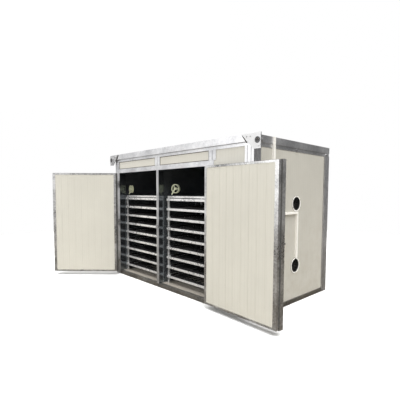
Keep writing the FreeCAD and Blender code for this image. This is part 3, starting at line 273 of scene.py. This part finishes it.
def panel_sheet(name, outside, dirt_and_shade):
    """Painted steel skin with shallow roll-formed lines. Its inside faces are a polished lining in near-black,
    painted shade for the unlit interior, and low down it darkens: painted shade mixed with dust patches.
    """
    line_pitch, line_sharpness, line_shade, line_depth, grain_height = 0.049, 24.0, 0.10, 0.5, 0.10
    material, w, shader, place = start_material(name)
    x, y = w.parts(place)[:2]
    along = w.math("ADD", x, y)
    wave = w.math("COSINE", w.math("MULTIPLY", along, 2 * math.pi / line_pitch))
    line = w.math("POWER", w.span(wave, -1.0, 1.0), line_sharpness)
    patch, aged = w.patches(place, 2.2)
    fine = w.noise(place, 420.0, 2.0)
    inside = use_group(w, SHADED_INSIDE, Vector=place)["Mask"]
    grime_and_shade = use_group(w, DUST_AND_LOW_SHADE, Vector=place, Reach=dirt_and_shade[0], Amount=dirt_and_shade[1])["Mask"]
    tinted = w.blend(aged, outside, darker(outside, PAINT_SHADE))
    tinted = w.blend(w.math("MULTIPLY", line, line_shade), tinted, ROLL_SHADOW)
    # painted shade: the skin darkens towards the bottom, mixed with dust patches
    tinted = w.blend(grime_and_shade, tinted, PANEL_GRIME_AND_SHADE)
    # painted shade: the inside faces take the near-black lining tone
    colour = w.blend(inside, tinted, SHADED_LINING_TONE)
    painted = w.span(patch, 0.3, 0.7, 0.36, 0.48)
    roughness = w.span(inside, 0.0, 1.0, painted, LINING_ROUGH)
    height = w.math("SUBTRACT", w.math("MULTIPLY", fine, grain_height), w.math("MULTIPLY", line, line_depth))
    height = w.math("MULTIPLY", height, w.math("SUBTRACT", 1.0, inside))
    wire(w, shader, Base_Color=colour, Roughness=roughness, Metallic=w.math("MULTIPLY", inside, LINING_METAL),
         Normal=bump(w, height, 0.0004, 0.6))
    return material


def plain_finish(name, colour, rough, grain=300.0, depth=0.0002, variation=0.12, dust=0.2, metallic=0.0,
                 **shader):
    """A moulded, rubber or painted finish with fine grain and a little dust."""
    material, w, inputs, place = start_material(name, metallic, **shader)
    patch, aged = w.patches(place, 6.0)
    fine = w.noise(place, grain, 3.0)
    grime_and_shade = use_group(w, DUST_AND_LOW_SHADE, Vector=place, Reach=0.6, Amount=dust)["Mask"]
    tinted = w.blend(aged, colour, darker(colour, 1 - variation))
    tinted = w.blend(grime_and_shade, tinted, GREY_DUST)
    worn = w.math("ADD", patch, w.math("MULTIPLY", grime_and_shade, 0.5))
    roughness = w.span(worn, 0.3, 0.8, rough - 0.05, rough + 0.12)
    wire(w, inputs, Base_Color=tinted, Roughness=roughness, Normal=bump(w, fine, depth, 0.6))
    return material


def vent_finish(name, outside, bore):
    """White moulding round the rim. Behind the wall's face it is painted near-black: painted shade in the
    recess.
    """
    material, w, shader, place = start_material(name)
    patch, aged = w.patches(place, 9.0, detail=4.0)
    sunk = w.math("LESS_THAN", w.parts(place)[0], RIGHT_WALL + FOLD / 2)
    tinted = w.blend(aged, outside, darker(outside, PAINT_SHADE))
    wire(w, shader, Base_Color=w.blend(sunk, tinted, bore), Roughness=w.span(patch, 0.3, 0.7, 0.32, 0.45),
         Normal=bump(w, w.noise(place, 300.0, 2.0), 0.0002, 0.5))
    return material


def shaded_lining_sheet(name):
    """Polished sheet with faint cloudy wear, near-black as painted shade for the unlit interior."""
    material, w, shader, place = start_material(name, LINING_METAL)
    patch, aged = w.patches(place, 5.0)
    colour = w.blend(aged, SHADED_LINING_TONE, darker(SHADED_LINING_TONE, LINING_SHADE))
    wire(w, shader, Base_Color=colour, Roughness=w.span(patch, 0.3, 0.7, 0.11, 0.2))
    return material


MATERIALS = {
    # the profiles are painted near-black on the sides of the doorways: painted shade
    "galvanised": galvanised_sheet(
        "galvanised profile", (0.50, 0.505, 0.52, 1), (0.84, 0.84, 0.85, 1), shaded_in_doorways=True, crystal=0.3),
    # the skin darkens over its lower 1.6 m: painted shade on the lower walls, mixed with dust patches
    "panel_skin": panel_sheet("panel skin", (0.56, 0.545, 0.49, 1), dirt_and_shade=(1.6, 0.4)),
    "door_skin": panel_sheet("door skin", (0.54, 0.525, 0.465, 1), dirt_and_shade=(0.4, 0.15)),
    "dark_lining": shaded_lining_sheet("shaded dark lining"),
    "floor_sheet": plain_finish("trodden floor sheet", (0.34, 0.31, 0.27, 1), 0.45, dust=0.9),
    "seal_rubber": plain_finish("seal rubber", (0.07, 0.07, 0.068, 1), 0.6),
    "latch_chrome": plain_finish("latch chrome", (0.62, 0.62, 0.63, 1), 0.15, depth=0.00005, metallic=1.0),
    "trunk_plastic": plain_finish("white trunking", (0.94, 0.92, 0.87, 1), 0.42, variation=0.04, dust=0.05),
    # the last colour is painted shade inside the vents' bores
    "vent_plastic": vent_finish("vent moulding", (0.93, 0.915, 0.87, 1), (0.02, 0.022, 0.02, 1)),
    # near-black trays, their colour painted shade of the unlit interior
    "tray_plastic": plain_finish(
        "shade-black tray moulding", (0.006, 0.006, 0.007, 1), 0.7, dust=0.02, Specular_IOR_Level=0.12),
    "black_plastic": plain_finish("black moulding", (0.010, 0.010, 0.010, 1), 0.5, dust=0.05),
    "fan_enamel": plain_finish("fan enamel", (0.60, 0.62, 0.44, 1), 0.3, variation=0.15),
    "display_glass": plain_finish("display window", (0.01, 0.012, 0.015, 1), 0.08, depth=0.00002),
    "fascia_enamel": plain_finish("fascia enamel", (0.34, 0.35, 0.36, 1), 0.4),
    "heater_steel": galvanised_sheet("heater tube", (0.25, 0.24, 0.23, 1), (0.5, 0.49, 0.47, 1), 90.0),
    "pan_steel": galvanised_sheet("water pan", (0.45, 0.46, 0.47, 1), (0.7, 0.71, 0.72, 1), 40.0),
}
# near-black weld: a painted shadow line along each lifting plate's slanted edge
SHADOW_WELD = galvanised_sheet("weld", (0.05, 0.05, 0.052, 1), (0.16, 0.155, 0.15, 1), 90.0)
DARK_STEEL = plain_finish("oiled steel", (0.10, 0.10, 0.105, 1), 0.35, metallic=0.9)
LAMP_COLOURS = {
    "green": plain_finish("green lens", (0.02, 0.30, 0.06, 1), 0.12, depth=0.00003),
    "amber": plain_finish("amber lens", (0.55, 0.24, 0.02, 1), 0.12, depth=0.00003),
    "red": plain_finish("red lens", (0.42, 0.02, 0.015, 1), 0.12, depth=0.00003),
}
SEALANT = plain_finish("grey sealant", (0.20, 0.195, 0.185, 1), 0.5, 180.0)
EDGE_PROFILE = galvanised_sheet(
    "door edge profile", (0.22, 0.222, 0.225, 1), (0.90, 0.90, 0.895, 1), 66.0, (0.22, 0.44), crystal=0.36,
    dirt_and_shade=(1.3, 0.6))
EAR_PLATE = galvanised_sheet("lifting plate", (0.42, 0.42, 0.43, 1), (0.60, 0.60, 0.60, 1), 60.0, crystal=0.2)
ROTOR = plain_finish("fan rotor", (0.045, 0.048, 0.032, 1), 0.4)
RACK_STEEL = galvanised_sheet(
    "rack steel", (0.62, 0.62, 0.62, 1), (0.98, 0.98, 0.97, 1), 70.0, (0.22, 0.4), 0.6, dirt_and_shade=(0.2, 0.1))
# near-black wires on the trays, their colour painted shade of the unlit interior
SHADE_BLACK_WIRE = plain_finish("shade-black wire", (0.012, 0.012, 0.012, 1), 0.6, dust=0.02, Specular_IOR_Level=0.15)
# dark brown bead round the frieze panels: painted shadow in the gap round them
FRIEZE_SHADOW_SEALANT = plain_finish("brown frieze shadow sealant", (0.10, 0.088, 0.072, 1), 0.5, 180.0)
NODE_MATERIALS = {
    "door_left_frame": EDGE_PROFILE, "door_right_frame": EDGE_PROFILE,
    "rack_left": RACK_STEEL, "rack_right": RACK_STEEL, "lifting_ears": EAR_PLATE,
    "fan_left_rotor": ROTOR, "fan_right_rotor": ROTOR,
    "base_frame": galvanised_sheet("base profile", (0.16, 0.155, 0.145, 1), (0.42, 0.41, 0.39, 1), 48.0),
}


def dress_nodes():
    """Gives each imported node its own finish, or the one for its material slot."""
    for part in frame["record"]["subparts"]:
        mesh = NODES[part["node"]].data
        mesh.materials.clear()
        mesh.materials.append(NODE_MATERIALS.get(part["node"], MATERIALS[part["material_slot"]]))


# ---- studio ------------------------------------------------------------------------------------------
FLOOR_RADIUS = 9.0
BRIGHT_WALL = Vector((-0.85, -0.52, 0.1))    # the bright side of the studio, to the left of the doors
TOP_LIGHT_FROM = Vector((0.42, -0.22, 1.0))
TOP_LIGHT_STRENGTH = 3.9
TOP_LIGHT_SPREAD = math.radians(50)
FRONT_LIGHT_PLACE, FRONT_LIGHT_TARGET = (-2.0, -9.0, 3.5), (0.0, 0.0, 1.0)
FRONT_LIGHT_WIDTH, FRONT_LIGHT_HEIGHT, FRONT_LIGHT_WATTS = 6.0, 4.0, 140


def studio_floor():
    """A floor that is pale to the camera, duller in what it throws back and dark in reflections."""
    bpy.ops.object.select_all(action="DESELECT")
    bpy.ops.mesh.primitive_circle_add(vertices=96, radius=FLOOR_RADIUS, fill_type="NGON")
    floor = bpy.context.object
    floor.name = "studio_floor"
    material, w, shader, place = start_material("studio floor")
    soft = w.span(w.noise(place, 0.6), 0.3, 0.7)
    pale = w.blend(soft, (0.94, 0.94, 0.93, 1), (0.97, 0.97, 0.96, 1))
    ray = w.add("ShaderNodeLightPath").outputs
    bounce = w.blend(ray["Is Glossy Ray"], (0.52, 0.49, 0.44, 1), (0.10, 0.088, 0.07, 1))
    wire(w, shader, Base_Color=w.blend(ray["Is Camera Ray"], bounce, pale))
    shader["Roughness"].default_value = 0.9
    floor.data.materials.append(material)


def studio_world():
    """White to the camera. As light it is brighter from the left, and from above."""
    world = bpy.data.worlds.new("studio")
    bpy.context.scene.world = world
    world.use_nodes = True
    w = Wiring(world.node_tree)
    background = world.node_tree.nodes["Background"]
    seen = w.add("ShaderNodeLightPath").outputs["Is Camera Ray"]
    toward = w.add("ShaderNodeTexCoord").outputs["Generated"]
    facing_wall = w.vector_math("DOT_PRODUCT", toward, BRIGHT_WALL)["Value"]
    raised = w.span(w.parts(toward)[2], 0.0, 0.4, 0.55, 1.25)
    lit = w.math("MULTIPLY", w.span(facing_wall, -0.7, 0.8, 0.26, 1.15), raised)
    wire(w, background.inputs, Strength=w.math("MAXIMUM", seen, lit))
    background.inputs["Color"].default_value = (1, 1, 1, 1)


def studio_lights():
    """A wide panel of light before the doors, and a soft light from above on the right."""
    front = bpy.data.lights.new("front_panel_light", "AREA")
    front.shape, front.energy = "RECTANGLE", FRONT_LIGHT_WATTS
    front.size, front.size_y = FRONT_LIGHT_WIDTH, FRONT_LIGHT_HEIGHT
    top = bpy.data.lights.new("top_light", "SUN")
    top.energy, top.angle = TOP_LIGHT_STRENGTH, TOP_LIGHT_SPREAD
    inward = Vector(FRONT_LIGHT_TARGET) - Vector(FRONT_LIGHT_PLACE)
    for data, place, aim in (
        (front, FRONT_LIGHT_PLACE, inward.to_track_quat("-Z", "Y")),
        (top, (0, 0, 0), TOP_LIGHT_FROM.to_track_quat("Z", "Y")),
    ):
        light = bpy.data.objects.new(data.name, data)
        light.location, light.rotation_euler = place, aim.to_euler()
        bpy.context.scene.collection.objects.link(light)


# ---- small fittings ------------------------------------------------------------------------------------
JOINTS = {joint["name"]: joint for joint in frame["record"]["behaviour"]["joints"]}
UP = Vector((0, 0, 1))
FRONTWARD, RIGHTWARD = Vector((0, -1, 0)), Vector((1, 0, 0))
STEEL = MATERIALS["latch_chrome"]


def joint_place(name):
    """A point on the joint's axis, and the axis."""
    return Vector(JOINTS[name]["pos_m"]), Vector(JOINTS[name]["axis"]).normalized()


def pick_faces(piece, wanted):
    """Selects in edit mode only the faces that pass the test."""
    bpy.ops.mesh.select_mode(type="FACE")
    bpy.ops.mesh.select_all(action="DESELECT")
    mesh = bmesh.from_edit_mesh(piece.data)
    for face in mesh.faces:
        if wanted(face):
            face.select_set(True)
    bmesh.update_edit_mesh(piece.data)


def shape_top(piece, *steps):
    """Insets the faces that look up, once for each thickness and depth."""
    pick_faces(piece, lambda face: face.normal.z > 0.9)
    for thickness, depth in steps:
        bpy.ops.mesh.inset(thickness=thickness, depth=depth)


def start_round(vertices, radius, depth, location=(0, 0, 0), rotation=(0, 0, 0)):
    """A new round bar in edit mode, ready to be shaped."""
    bpy.ops.object.select_all(action="DESELECT")
    bpy.ops.mesh.primitive_cylinder_add(
        vertices=vertices, radius=radius, depth=depth, location=location, rotation=rotation)
    bpy.ops.object.mode_set(mode="EDIT")
    return bpy.context.object


def settle(piece, bevel=0.0, segments=2):
    """Leaves edit mode, rounds the edges and puts the piece's place into its mesh."""
    bpy.ops.object.mode_set(mode="OBJECT")
    if bevel:
        rounding = piece.modifiers.new("rounded edges", "BEVEL")
        rounding.width, rounding.segments, rounding.limit_method = bevel, segments, "ANGLE"
        bpy.ops.object.modifier_apply(modifier=rounding.name)
    bpy.ops.object.transform_apply(location=True, rotation=True, scale=True)
    bpy.ops.object.shade_smooth_by_angle(angle=SMOOTH_UNDER)
    return piece


def repeat(piece, step, count):
    """Repeats a settled piece in a straight row."""
    row = piece.modifiers.new("row", "ARRAY")
    row.use_relative_offset, row.use_constant_offset = False, True
    row.constant_offset_displace, row.count = step, count
    bpy.ops.object.modifier_apply(modifier=row.name)


def fit(piece, name, body, material):
    """Names a settled piece, finishes it and lets it ride on its body."""
    piece.name = name
    piece.data.name = name
    piece.data.materials.clear()
    piece.data.materials.append(material)
    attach(piece, body)


def fit_copies(pattern, places, name, body, material):
    """Copies of a settled pattern, set at each place and joined into one piece."""
    bpy.ops.object.select_all(action="DESELECT")
    for i, place in enumerate(places):
        copy = bpy.data.objects.new(f"{name}_{i}", pattern.data.copy())
        copy.data.transform(place)
        bpy.context.scene.collection.objects.link(copy)
        copy.select_set(True)
        bpy.context.view_layer.objects.active = copy
    if len(places) > 1:
        bpy.ops.object.join()
    fit(bpy.context.view_layer.objects.active, name, body, material)


def facing(position, out):
    """The place that turns a pattern's +Z to point outwards."""
    return Matrix.Translation(position) @ out.to_track_quat("Z", "Y").to_matrix().to_4x4()


def socket_screw():
    """A low domed head with a sunk hexagon, its underside at Z zero."""
    radius, height = 0.0045, 0.0024
    head = start_round(20, radius, height, (0, 0, height / 2))
    shape_top(head, (0.0012, 0.0007), (0.0010, 0.0), (0.0001, -0.0014))
    return settle(head)


def hexagon_bolt():
    """A washer and a chamfered hexagon head, their underside at Z zero."""
    washer_radius, washer_height, head_radius, head_height, sunk = 0.015, 0.003, 0.0105, 0.008, 0.0005
    washer = start_round(32, washer_radius, washer_height, (0, 0, washer_height / 2))
    settle(washer, 0.0006)
    head = start_round(6, head_radius, head_height, (0, 0, washer_height + head_height / 2 - sunk))
    shape_top(head, (0.0016, 0.0009))
    settle(head, 0.0004)
    washer.select_set(True)
    bpy.context.view_layer.objects.active = washer
    bpy.ops.object.join()
    return washer


def door_screws(side, screw):
    """Screws in the hinge straps and jamb plates, and in the latch's plate."""
    outward = -1 if side == "left" else 1
    axis = joint_place(f"door_{side}_hinge")[0]
    latch, out = joint_place(f"door_{side}_latch_turn")
    along = out.cross(UP)
    if along.dot(latch - axis) < 0:
        along.negate()
    sheet, latch_plate, strap_reach, jamb_reach, half_hinge, pin_head = 0.004, 0.005, 0.044, 0.027, 0.061, 0.005
    pitch, plate_across, plate_rise = 0.042, 0.013, 0.05
    low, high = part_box("hinge_plates")
    first, last = low.z + half_hinge, high.z - pin_head - half_hinge
    levels = [level + rise for level in (first, (first + last) / 2, last) for rise in (-pitch, 0.0, pitch)]
    strap_face = Vector((axis.x, axis.y, 0.0)) + out * ((latch - axis).dot(out) + sheet) + along * strap_reach
    jamb_face = Vector((axis.x + outward * jamb_reach, CABINET_FRONT - sheet, 0.0))
    strap = [facing(strap_face + UP * level, out) for level in levels]
    jamb = [facing(jamb_face + UP * level, FRONTWARD) for level in levels]
    plate = [
        facing(latch + out * latch_plate + along * across + UP * rise, out)
        for across in (-plate_across, plate_across) for rise in (-plate_rise, plate_rise)
    ]
    fit_copies(screw, strap + plate, f"door_{side}_screws", f"door_{side}", STEEL)
    fit_copies(screw, jamb, f"jamb_{side}_screws", "cabinet", STEEL)


def vent_fixings(screw):
    """Six screws through each vent's rim, and the bead of sealant round it."""
    rim_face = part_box("vent_sleeves")[1].x
    rim, hole, bead_radius, bead_gap = 0.106, 0.092, 0.003, 0.001
    heads = []
    for level in ("upper", "lower"):
        middle = joint_place(f"vent_{level}_spin")[0]
        for degrees in range(30, 360, 60):
            angle = math.radians(degrees)
            reach = Vector((0, math.cos(angle), math.sin(angle))) * (rim + hole) / 2
            heads.append(facing(Vector((rim_face, middle.y, middle.z)) + reach, RIGHTWARD))
        bpy.ops.object.select_all(action="DESELECT")
        bpy.ops.mesh.primitive_torus_add(
            major_radius=rim + bead_gap, minor_radius=bead_radius, major_segments=72, minor_segments=10,
            location=(RIGHT_WALL, middle.y, middle.z), rotation=(0, math.pi / 2, 0))
        bead = bpy.context.object
        bpy.ops.object.transform_apply(location=True, rotation=True, scale=True)
        bpy.ops.object.mode_set(mode="EDIT")
        bpy.ops.mesh.select_all(action="SELECT")
        bpy.ops.mesh.bisect(plane_co=(RIGHT_WALL, 0, 0), plane_no=(1, 0, 0), use_fill=True, clear_inner=True)
        fit(settle(bead), f"vent_{level}_sealant", "cabinet", SEALANT)
    fit_copies(screw, heads, "vent_screws", "cabinet", STEEL)


def frame_bead(name, corner, opposite, out, width=0.006, height=0.003, material=SEALANT):
    """A rounded bead of sealant round an upright rectangle, from one corner to the opposite one."""
    corner, opposite = Vector(corner), Vector(opposite)
    span = opposite - corner
    bpy.ops.object.select_all(action="DESELECT")
    bpy.ops.mesh.primitive_plane_add(
        size=1.0, location=(corner + opposite) / 2, rotation=out.to_track_quat("Z", "Y").to_euler())
    piece = bpy.context.object
    piece.scale = (abs(span.dot(out.cross(UP))), abs(span.z), 1.0)
    bpy.ops.object.transform_apply(location=True, rotation=True, scale=True)
    bpy.ops.object.mode_set(mode="EDIT")
    bpy.ops.mesh.select_all(action="SELECT")
    bpy.ops.mesh.inset(thickness=width)
    bpy.ops.mesh.delete(type="FACE")
    bpy.ops.mesh.select_all(action="SELECT")
    bpy.ops.mesh.extrude_region_move(TRANSFORM_OT_translate={"value": out * height})
    bpy.ops.mesh.select_all(action="SELECT")
    bpy.ops.mesh.normals_make_consistent(inside=False)
    rounded = 0.45 * height
    fit(settle(piece, rounded), name, "cabinet", material)


FRIEZE_SPANS = ((-1.476, -0.3495), (-0.2195, 0.8685))    # the panels over the two doorways, from left to right
FRIEZE_BEAD_WIDTH, FRIEZE_BEAD_HEIGHT = 0.009, 0.004


def panel_beads():
    """Sealant round the panels, where they meet the profiles. Round the frieze panels it is dark brown: painted
    shadow in the gap round them.
    """
    for side, out, face in (("right", RIGHTWARD, 1), ("left", -RIGHTWARD, 0)):
        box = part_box(f"side_panel_{side}")
        x = box[face].x
        frame_bead(f"side_panel_{side}_sealant", (x, box[0].y, box[0].z), (x, box[1].y, box[1].z), out)
    low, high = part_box("rear_panels")
    frame_bead("rear_panels_sealant", (low.x, high.y, low.z), (high.x, high.y, high.z), -FRONTWARD)
    low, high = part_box("frieze_panels")
    for i, (start, end) in enumerate(FRIEZE_SPANS):
        # dark brown bead: painted shadow in the gap round each frieze panel
        frame_bead(f"frieze_shadow_sealant_{i}", (start, low.y, low.z), (end, low.y, high.z), FRONTWARD,
                   FRIEZE_BEAD_WIDTH, FRIEZE_BEAD_HEIGHT, FRIEZE_SHADOW_SEALANT)


CLIP_FOOT, CLIP_STRAP, CLIP_SHEET = 0.013, 0.016, 0.0012


def trunk_clip(width, depth):
    """A bent strap over the trunking, its feet on Z zero and the trunking's run along Y."""
    bpy.ops.object.select_all(action="DESELECT")
    bpy.ops.mesh.primitive_plane_add(size=1.0, location=(-(width + CLIP_FOOT) / 2, 0, 0))
    clip = bpy.context.object
    clip.scale = (CLIP_FOOT, CLIP_STRAP, 1.0)
    bpy.ops.object.transform_apply(location=True, rotation=True, scale=True)
    bpy.ops.object.mode_set(mode="EDIT")
    bpy.ops.mesh.select_mode(type="EDGE")
    bpy.ops.mesh.select_all(action="DESELECT")
    mesh = bmesh.from_edit_mesh(clip.data)
    for edge in mesh.edges:
        if all(math.isclose(corner.co.x, -width / 2, abs_tol=1e-5) for corner in edge.verts):
            edge.select_set(True)
    bmesh.update_edit_mesh(clip.data)
    for step in ((0, 0, depth), (width, 0, 0), (0, 0, -depth), (CLIP_FOOT, 0, 0)):
        bpy.ops.mesh.extrude_region_move(TRANSFORM_OT_translate={"value": step})
    bpy.ops.object.mode_set(mode="OBJECT")
    thickness = clip.modifiers.new("sheet thickness", "SOLIDIFY")
    thickness.thickness, thickness.offset = CLIP_SHEET, 1.0
    bpy.ops.object.modifier_apply(modifier=thickness.name)
    bpy.ops.object.mode_set(mode="EDIT")
    bpy.ops.mesh.select_all(action="SELECT")
    bpy.ops.mesh.normals_make_consistent(inside=False)
    return settle(clip, 0.0003, 1)


def trunk_clips(screw):
    """Saddle clips over the trunking, each with a screw in both feet."""
    low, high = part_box("cable_trunking")
    depth = high.x - RIGHT_WALL
    drop = joint_place("vent_upper_spin")[0].y
    main_width, run_width, drop_width = 0.036, 0.025, 0.028
    main, run_level = low.y + main_width / 2, 1.2475
    upright, level = (-FRONTWARD, UP), (UP, FRONTWARD)
    spots = {
        "main_upper": (main, 1.86, main_width, upright), "main_lower": (main, 1.46, main_width, upright),
        "run_middle": ((main + drop) / 2, run_level, run_width, level),
        "drop_upper": (drop, 1.10, drop_width, upright), "drop_lower": (drop, 0.76, drop_width, upright),
    }
    heads = []
    for name, (y, z, width, (across, along)) in spots.items():
        middle = Vector((RIGHT_WALL, y, z))
        turn = Matrix((across, along, RIGHTWARD)).transposed().to_4x4()
        clip = trunk_clip(width, depth)
        clip.data.transform(Matrix.Translation(middle) @ turn)
        fit(clip, f"trunk_clip_{name}", "cabinet", MATERIALS["trunk_plastic"])
        for sign in (-1, 1):
            foot_middle = middle + across * sign * (width + CLIP_FOOT) / 2 + RIGHTWARD * CLIP_SHEET
            heads.append(facing(foot_middle, RIGHTWARD))
    fit_copies(screw, heads, "trunk_screws", "cabinet", STEEL)


def egg_wires():
    """A row of thin rods across each tray's slats, which the eggs lie between."""
    low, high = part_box("tray_left_1")
    rail, slat, radius, pitch = 0.016, 0.008, 0.0015, 0.052
    length, middle = high.x - low.x - 2 * rail, (low.x + high.x) / 2
    count = int((high.y - low.y - 2 * rail) / pitch) - 1
    first, chamfer = low.y + rail + pitch, 0.0004
    rods = start_round(8, radius, length, (middle, first, low.z + slat + radius), (0, math.pi / 2, 0))
    for end in (-1, 1):
        pick_faces(rods, lambda face: face.normal.z * end > 0.9)
        bpy.ops.mesh.inset(thickness=chamfer, depth=chamfer)
    repeat(settle(rods), (0, pitch, 0), count)
    for side in ("left", "right"):
        for level in range(1, 9):
            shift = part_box(f"tray_{side}_{level}")[0] - low
            fit_copies(rods, [Matrix.Translation(shift)], f"tray_{side}_{level}_wires",
                       f"tray_{side}_{level}_body", SHADE_BLACK_WIRE)
    bpy.data.objects.remove(rods)


def weld_bead(name, start, end, radius=0.009, pitch=0.0035):
    """Overlapping ripples of weld in a straight line, near-black: a painted shadow line."""
    start, end = Vector(start), Vector(end)
    bpy.ops.object.select_all(action="DESELECT")
    bpy.ops.mesh.primitive_uv_sphere_add(segments=12, ring_count=8, radius=radius)
    bead = bpy.context.object
    bpy.ops.object.mode_set(mode="EDIT")
    bpy.ops.mesh.select_all(action="SELECT")
    bpy.ops.transform.resize(value=(1.0, 0.75, 0.6))
    repeat(settle(bead), (0, 0, pitch), int((end - start).length / pitch))
    bead.data.transform(facing(start, (end - start).normalized()))
    fit(bead, name, "cabinet", SHADOW_WELD)


def ear_fittings(bolt):
    """A near-black weld along each lifting plate's slanted edge, painted shadow where the plate stands proud, a
    bush ring round its eye, and bolts in the roof rails.
    """
    eye_reach, eye_level, plate_face = 0.080, 2.112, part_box("lifting_ears")[0].y + 0.003
    edge_foot, edge_level, edge_slope = 0.024, 2.015, 0.135 / 0.181
    weld_levels = RAIL_LOW.z + 0.030, RAIL_HIGH.z - 0.012
    ring_radius, ring_width, ring_height = 0.037, 0.0118, 0.003
    bolt_places, bolt_rise = (RAIL_LOW.y + 0.124, 0.0, RAIL_HIGH.y - 0.096), 0.02
    heads = []
    for side, sign in (("left", -1), ("right", 1)):
        corner = sign * RAIL_HIGH.x
        start, end = [
            (corner - sign * (edge_foot + (z - edge_level) * edge_slope), RAIL_LOW.y, z) for z in weld_levels
        ]
        weld_bead(f"ear_{side}_weld", start, end)
        eye = (corner + sign * eye_reach, plate_face - ring_height / 2, eye_level)
        ring = start_round(40, ring_radius, ring_height, eye, (math.pi / 2, 0, 0))
        pick_faces(ring, lambda face: abs(face.normal.z) > 0.9)
        bpy.ops.mesh.inset(thickness=ring_width)
        bpy.ops.mesh.bridge_edge_loops()
        fit(settle(ring, 0.0006), f"ear_{side}_bush", "cabinet", DARK_STEEL)
        heads += [facing(Vector((corner, y, RAIL_LOW.z + bolt_rise)), RIGHTWARD * sign) for y in bolt_places]
    fit_copies(bolt, heads, "roof_rail_bolts", "cabinet", STEEL)


def motor_caps():
    """A ribbed end cap on each circulating fan's motor."""
    radius, height, motor_end = 0.0175, 0.003, 0.020
    cap = start_round(28, radius, height, (0, 0, height / 2))
    shape_top(cap, (0.003, 0.0), (0.001, -0.0012), (0.006, 0.0), (0.001, 0.002))
    settle(cap, 0.0003)
    for side in ("left", "right"):
        middle, axis = joint_place(f"fan_{side}_spin")
        fit_copies(cap, [facing(middle - axis * motor_end, -axis)], f"fan_{side}_motor_cap", f"fan_{side}",
                   MATERIALS["fan_enamel"])
    bpy.data.objects.remove(cap)


def control_lamps():
    """Three domed lamps in bezels between the display and the main switch."""
    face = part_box("control_fascia")[0].y
    switch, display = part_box("main_switch"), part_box("display_window")
    level, middle = (switch[1].z + display[0].z) / 2, (display[0].x + display[1].x) / 2
    pitch, bezel_radius, bezel_height, lens_radius, lens_height = 0.05, 0.011, 0.004, 0.0084, 0.003
    for i, (name, colour) in enumerate(LAMP_COLOURS.items()):
        spot = facing(Vector((middle + (i - 1) * pitch, face, level)), FRONTWARD)
        bezel = start_round(32, bezel_radius, bezel_height, (0, 0, bezel_height / 2))
        shape_top(bezel, (0.002, 0.0), (0.0004, -0.0015))
        settle(bezel, 0.0004)
        bezel.data.transform(spot)
        fit(bezel, f"lamp_{name}_bezel", "cabinet", STEEL)
        lens = start_round(28, lens_radius, lens_height, (0, 0, bezel_height))
        shape_top(lens, (0.0012, 0.0014), (0.0018, 0.0009), (0.0024, 0.0004))
        settle(lens)
        lens.data.transform(spot)
        fit(lens, f"lamp_{name}_lens", "cabinet", colour)


place_camera()
studio_floor()
studio_world()
studio_lights()
dress_nodes()
SCREW, BOLT = socket_screw(), hexagon_bolt()
for door in ("left", "right"):
    door_screws(door, SCREW)
vent_fixings(SCREW)
trunk_clips(SCREW)
ear_fittings(BOLT)
panel_beads()
motor_caps()
control_lamps()
egg_wires()
for pattern in (SCREW, BOLT):
    bpy.data.objects.remove(pattern)

bpy.context.scene.view_settings.view_transform = "Standard"
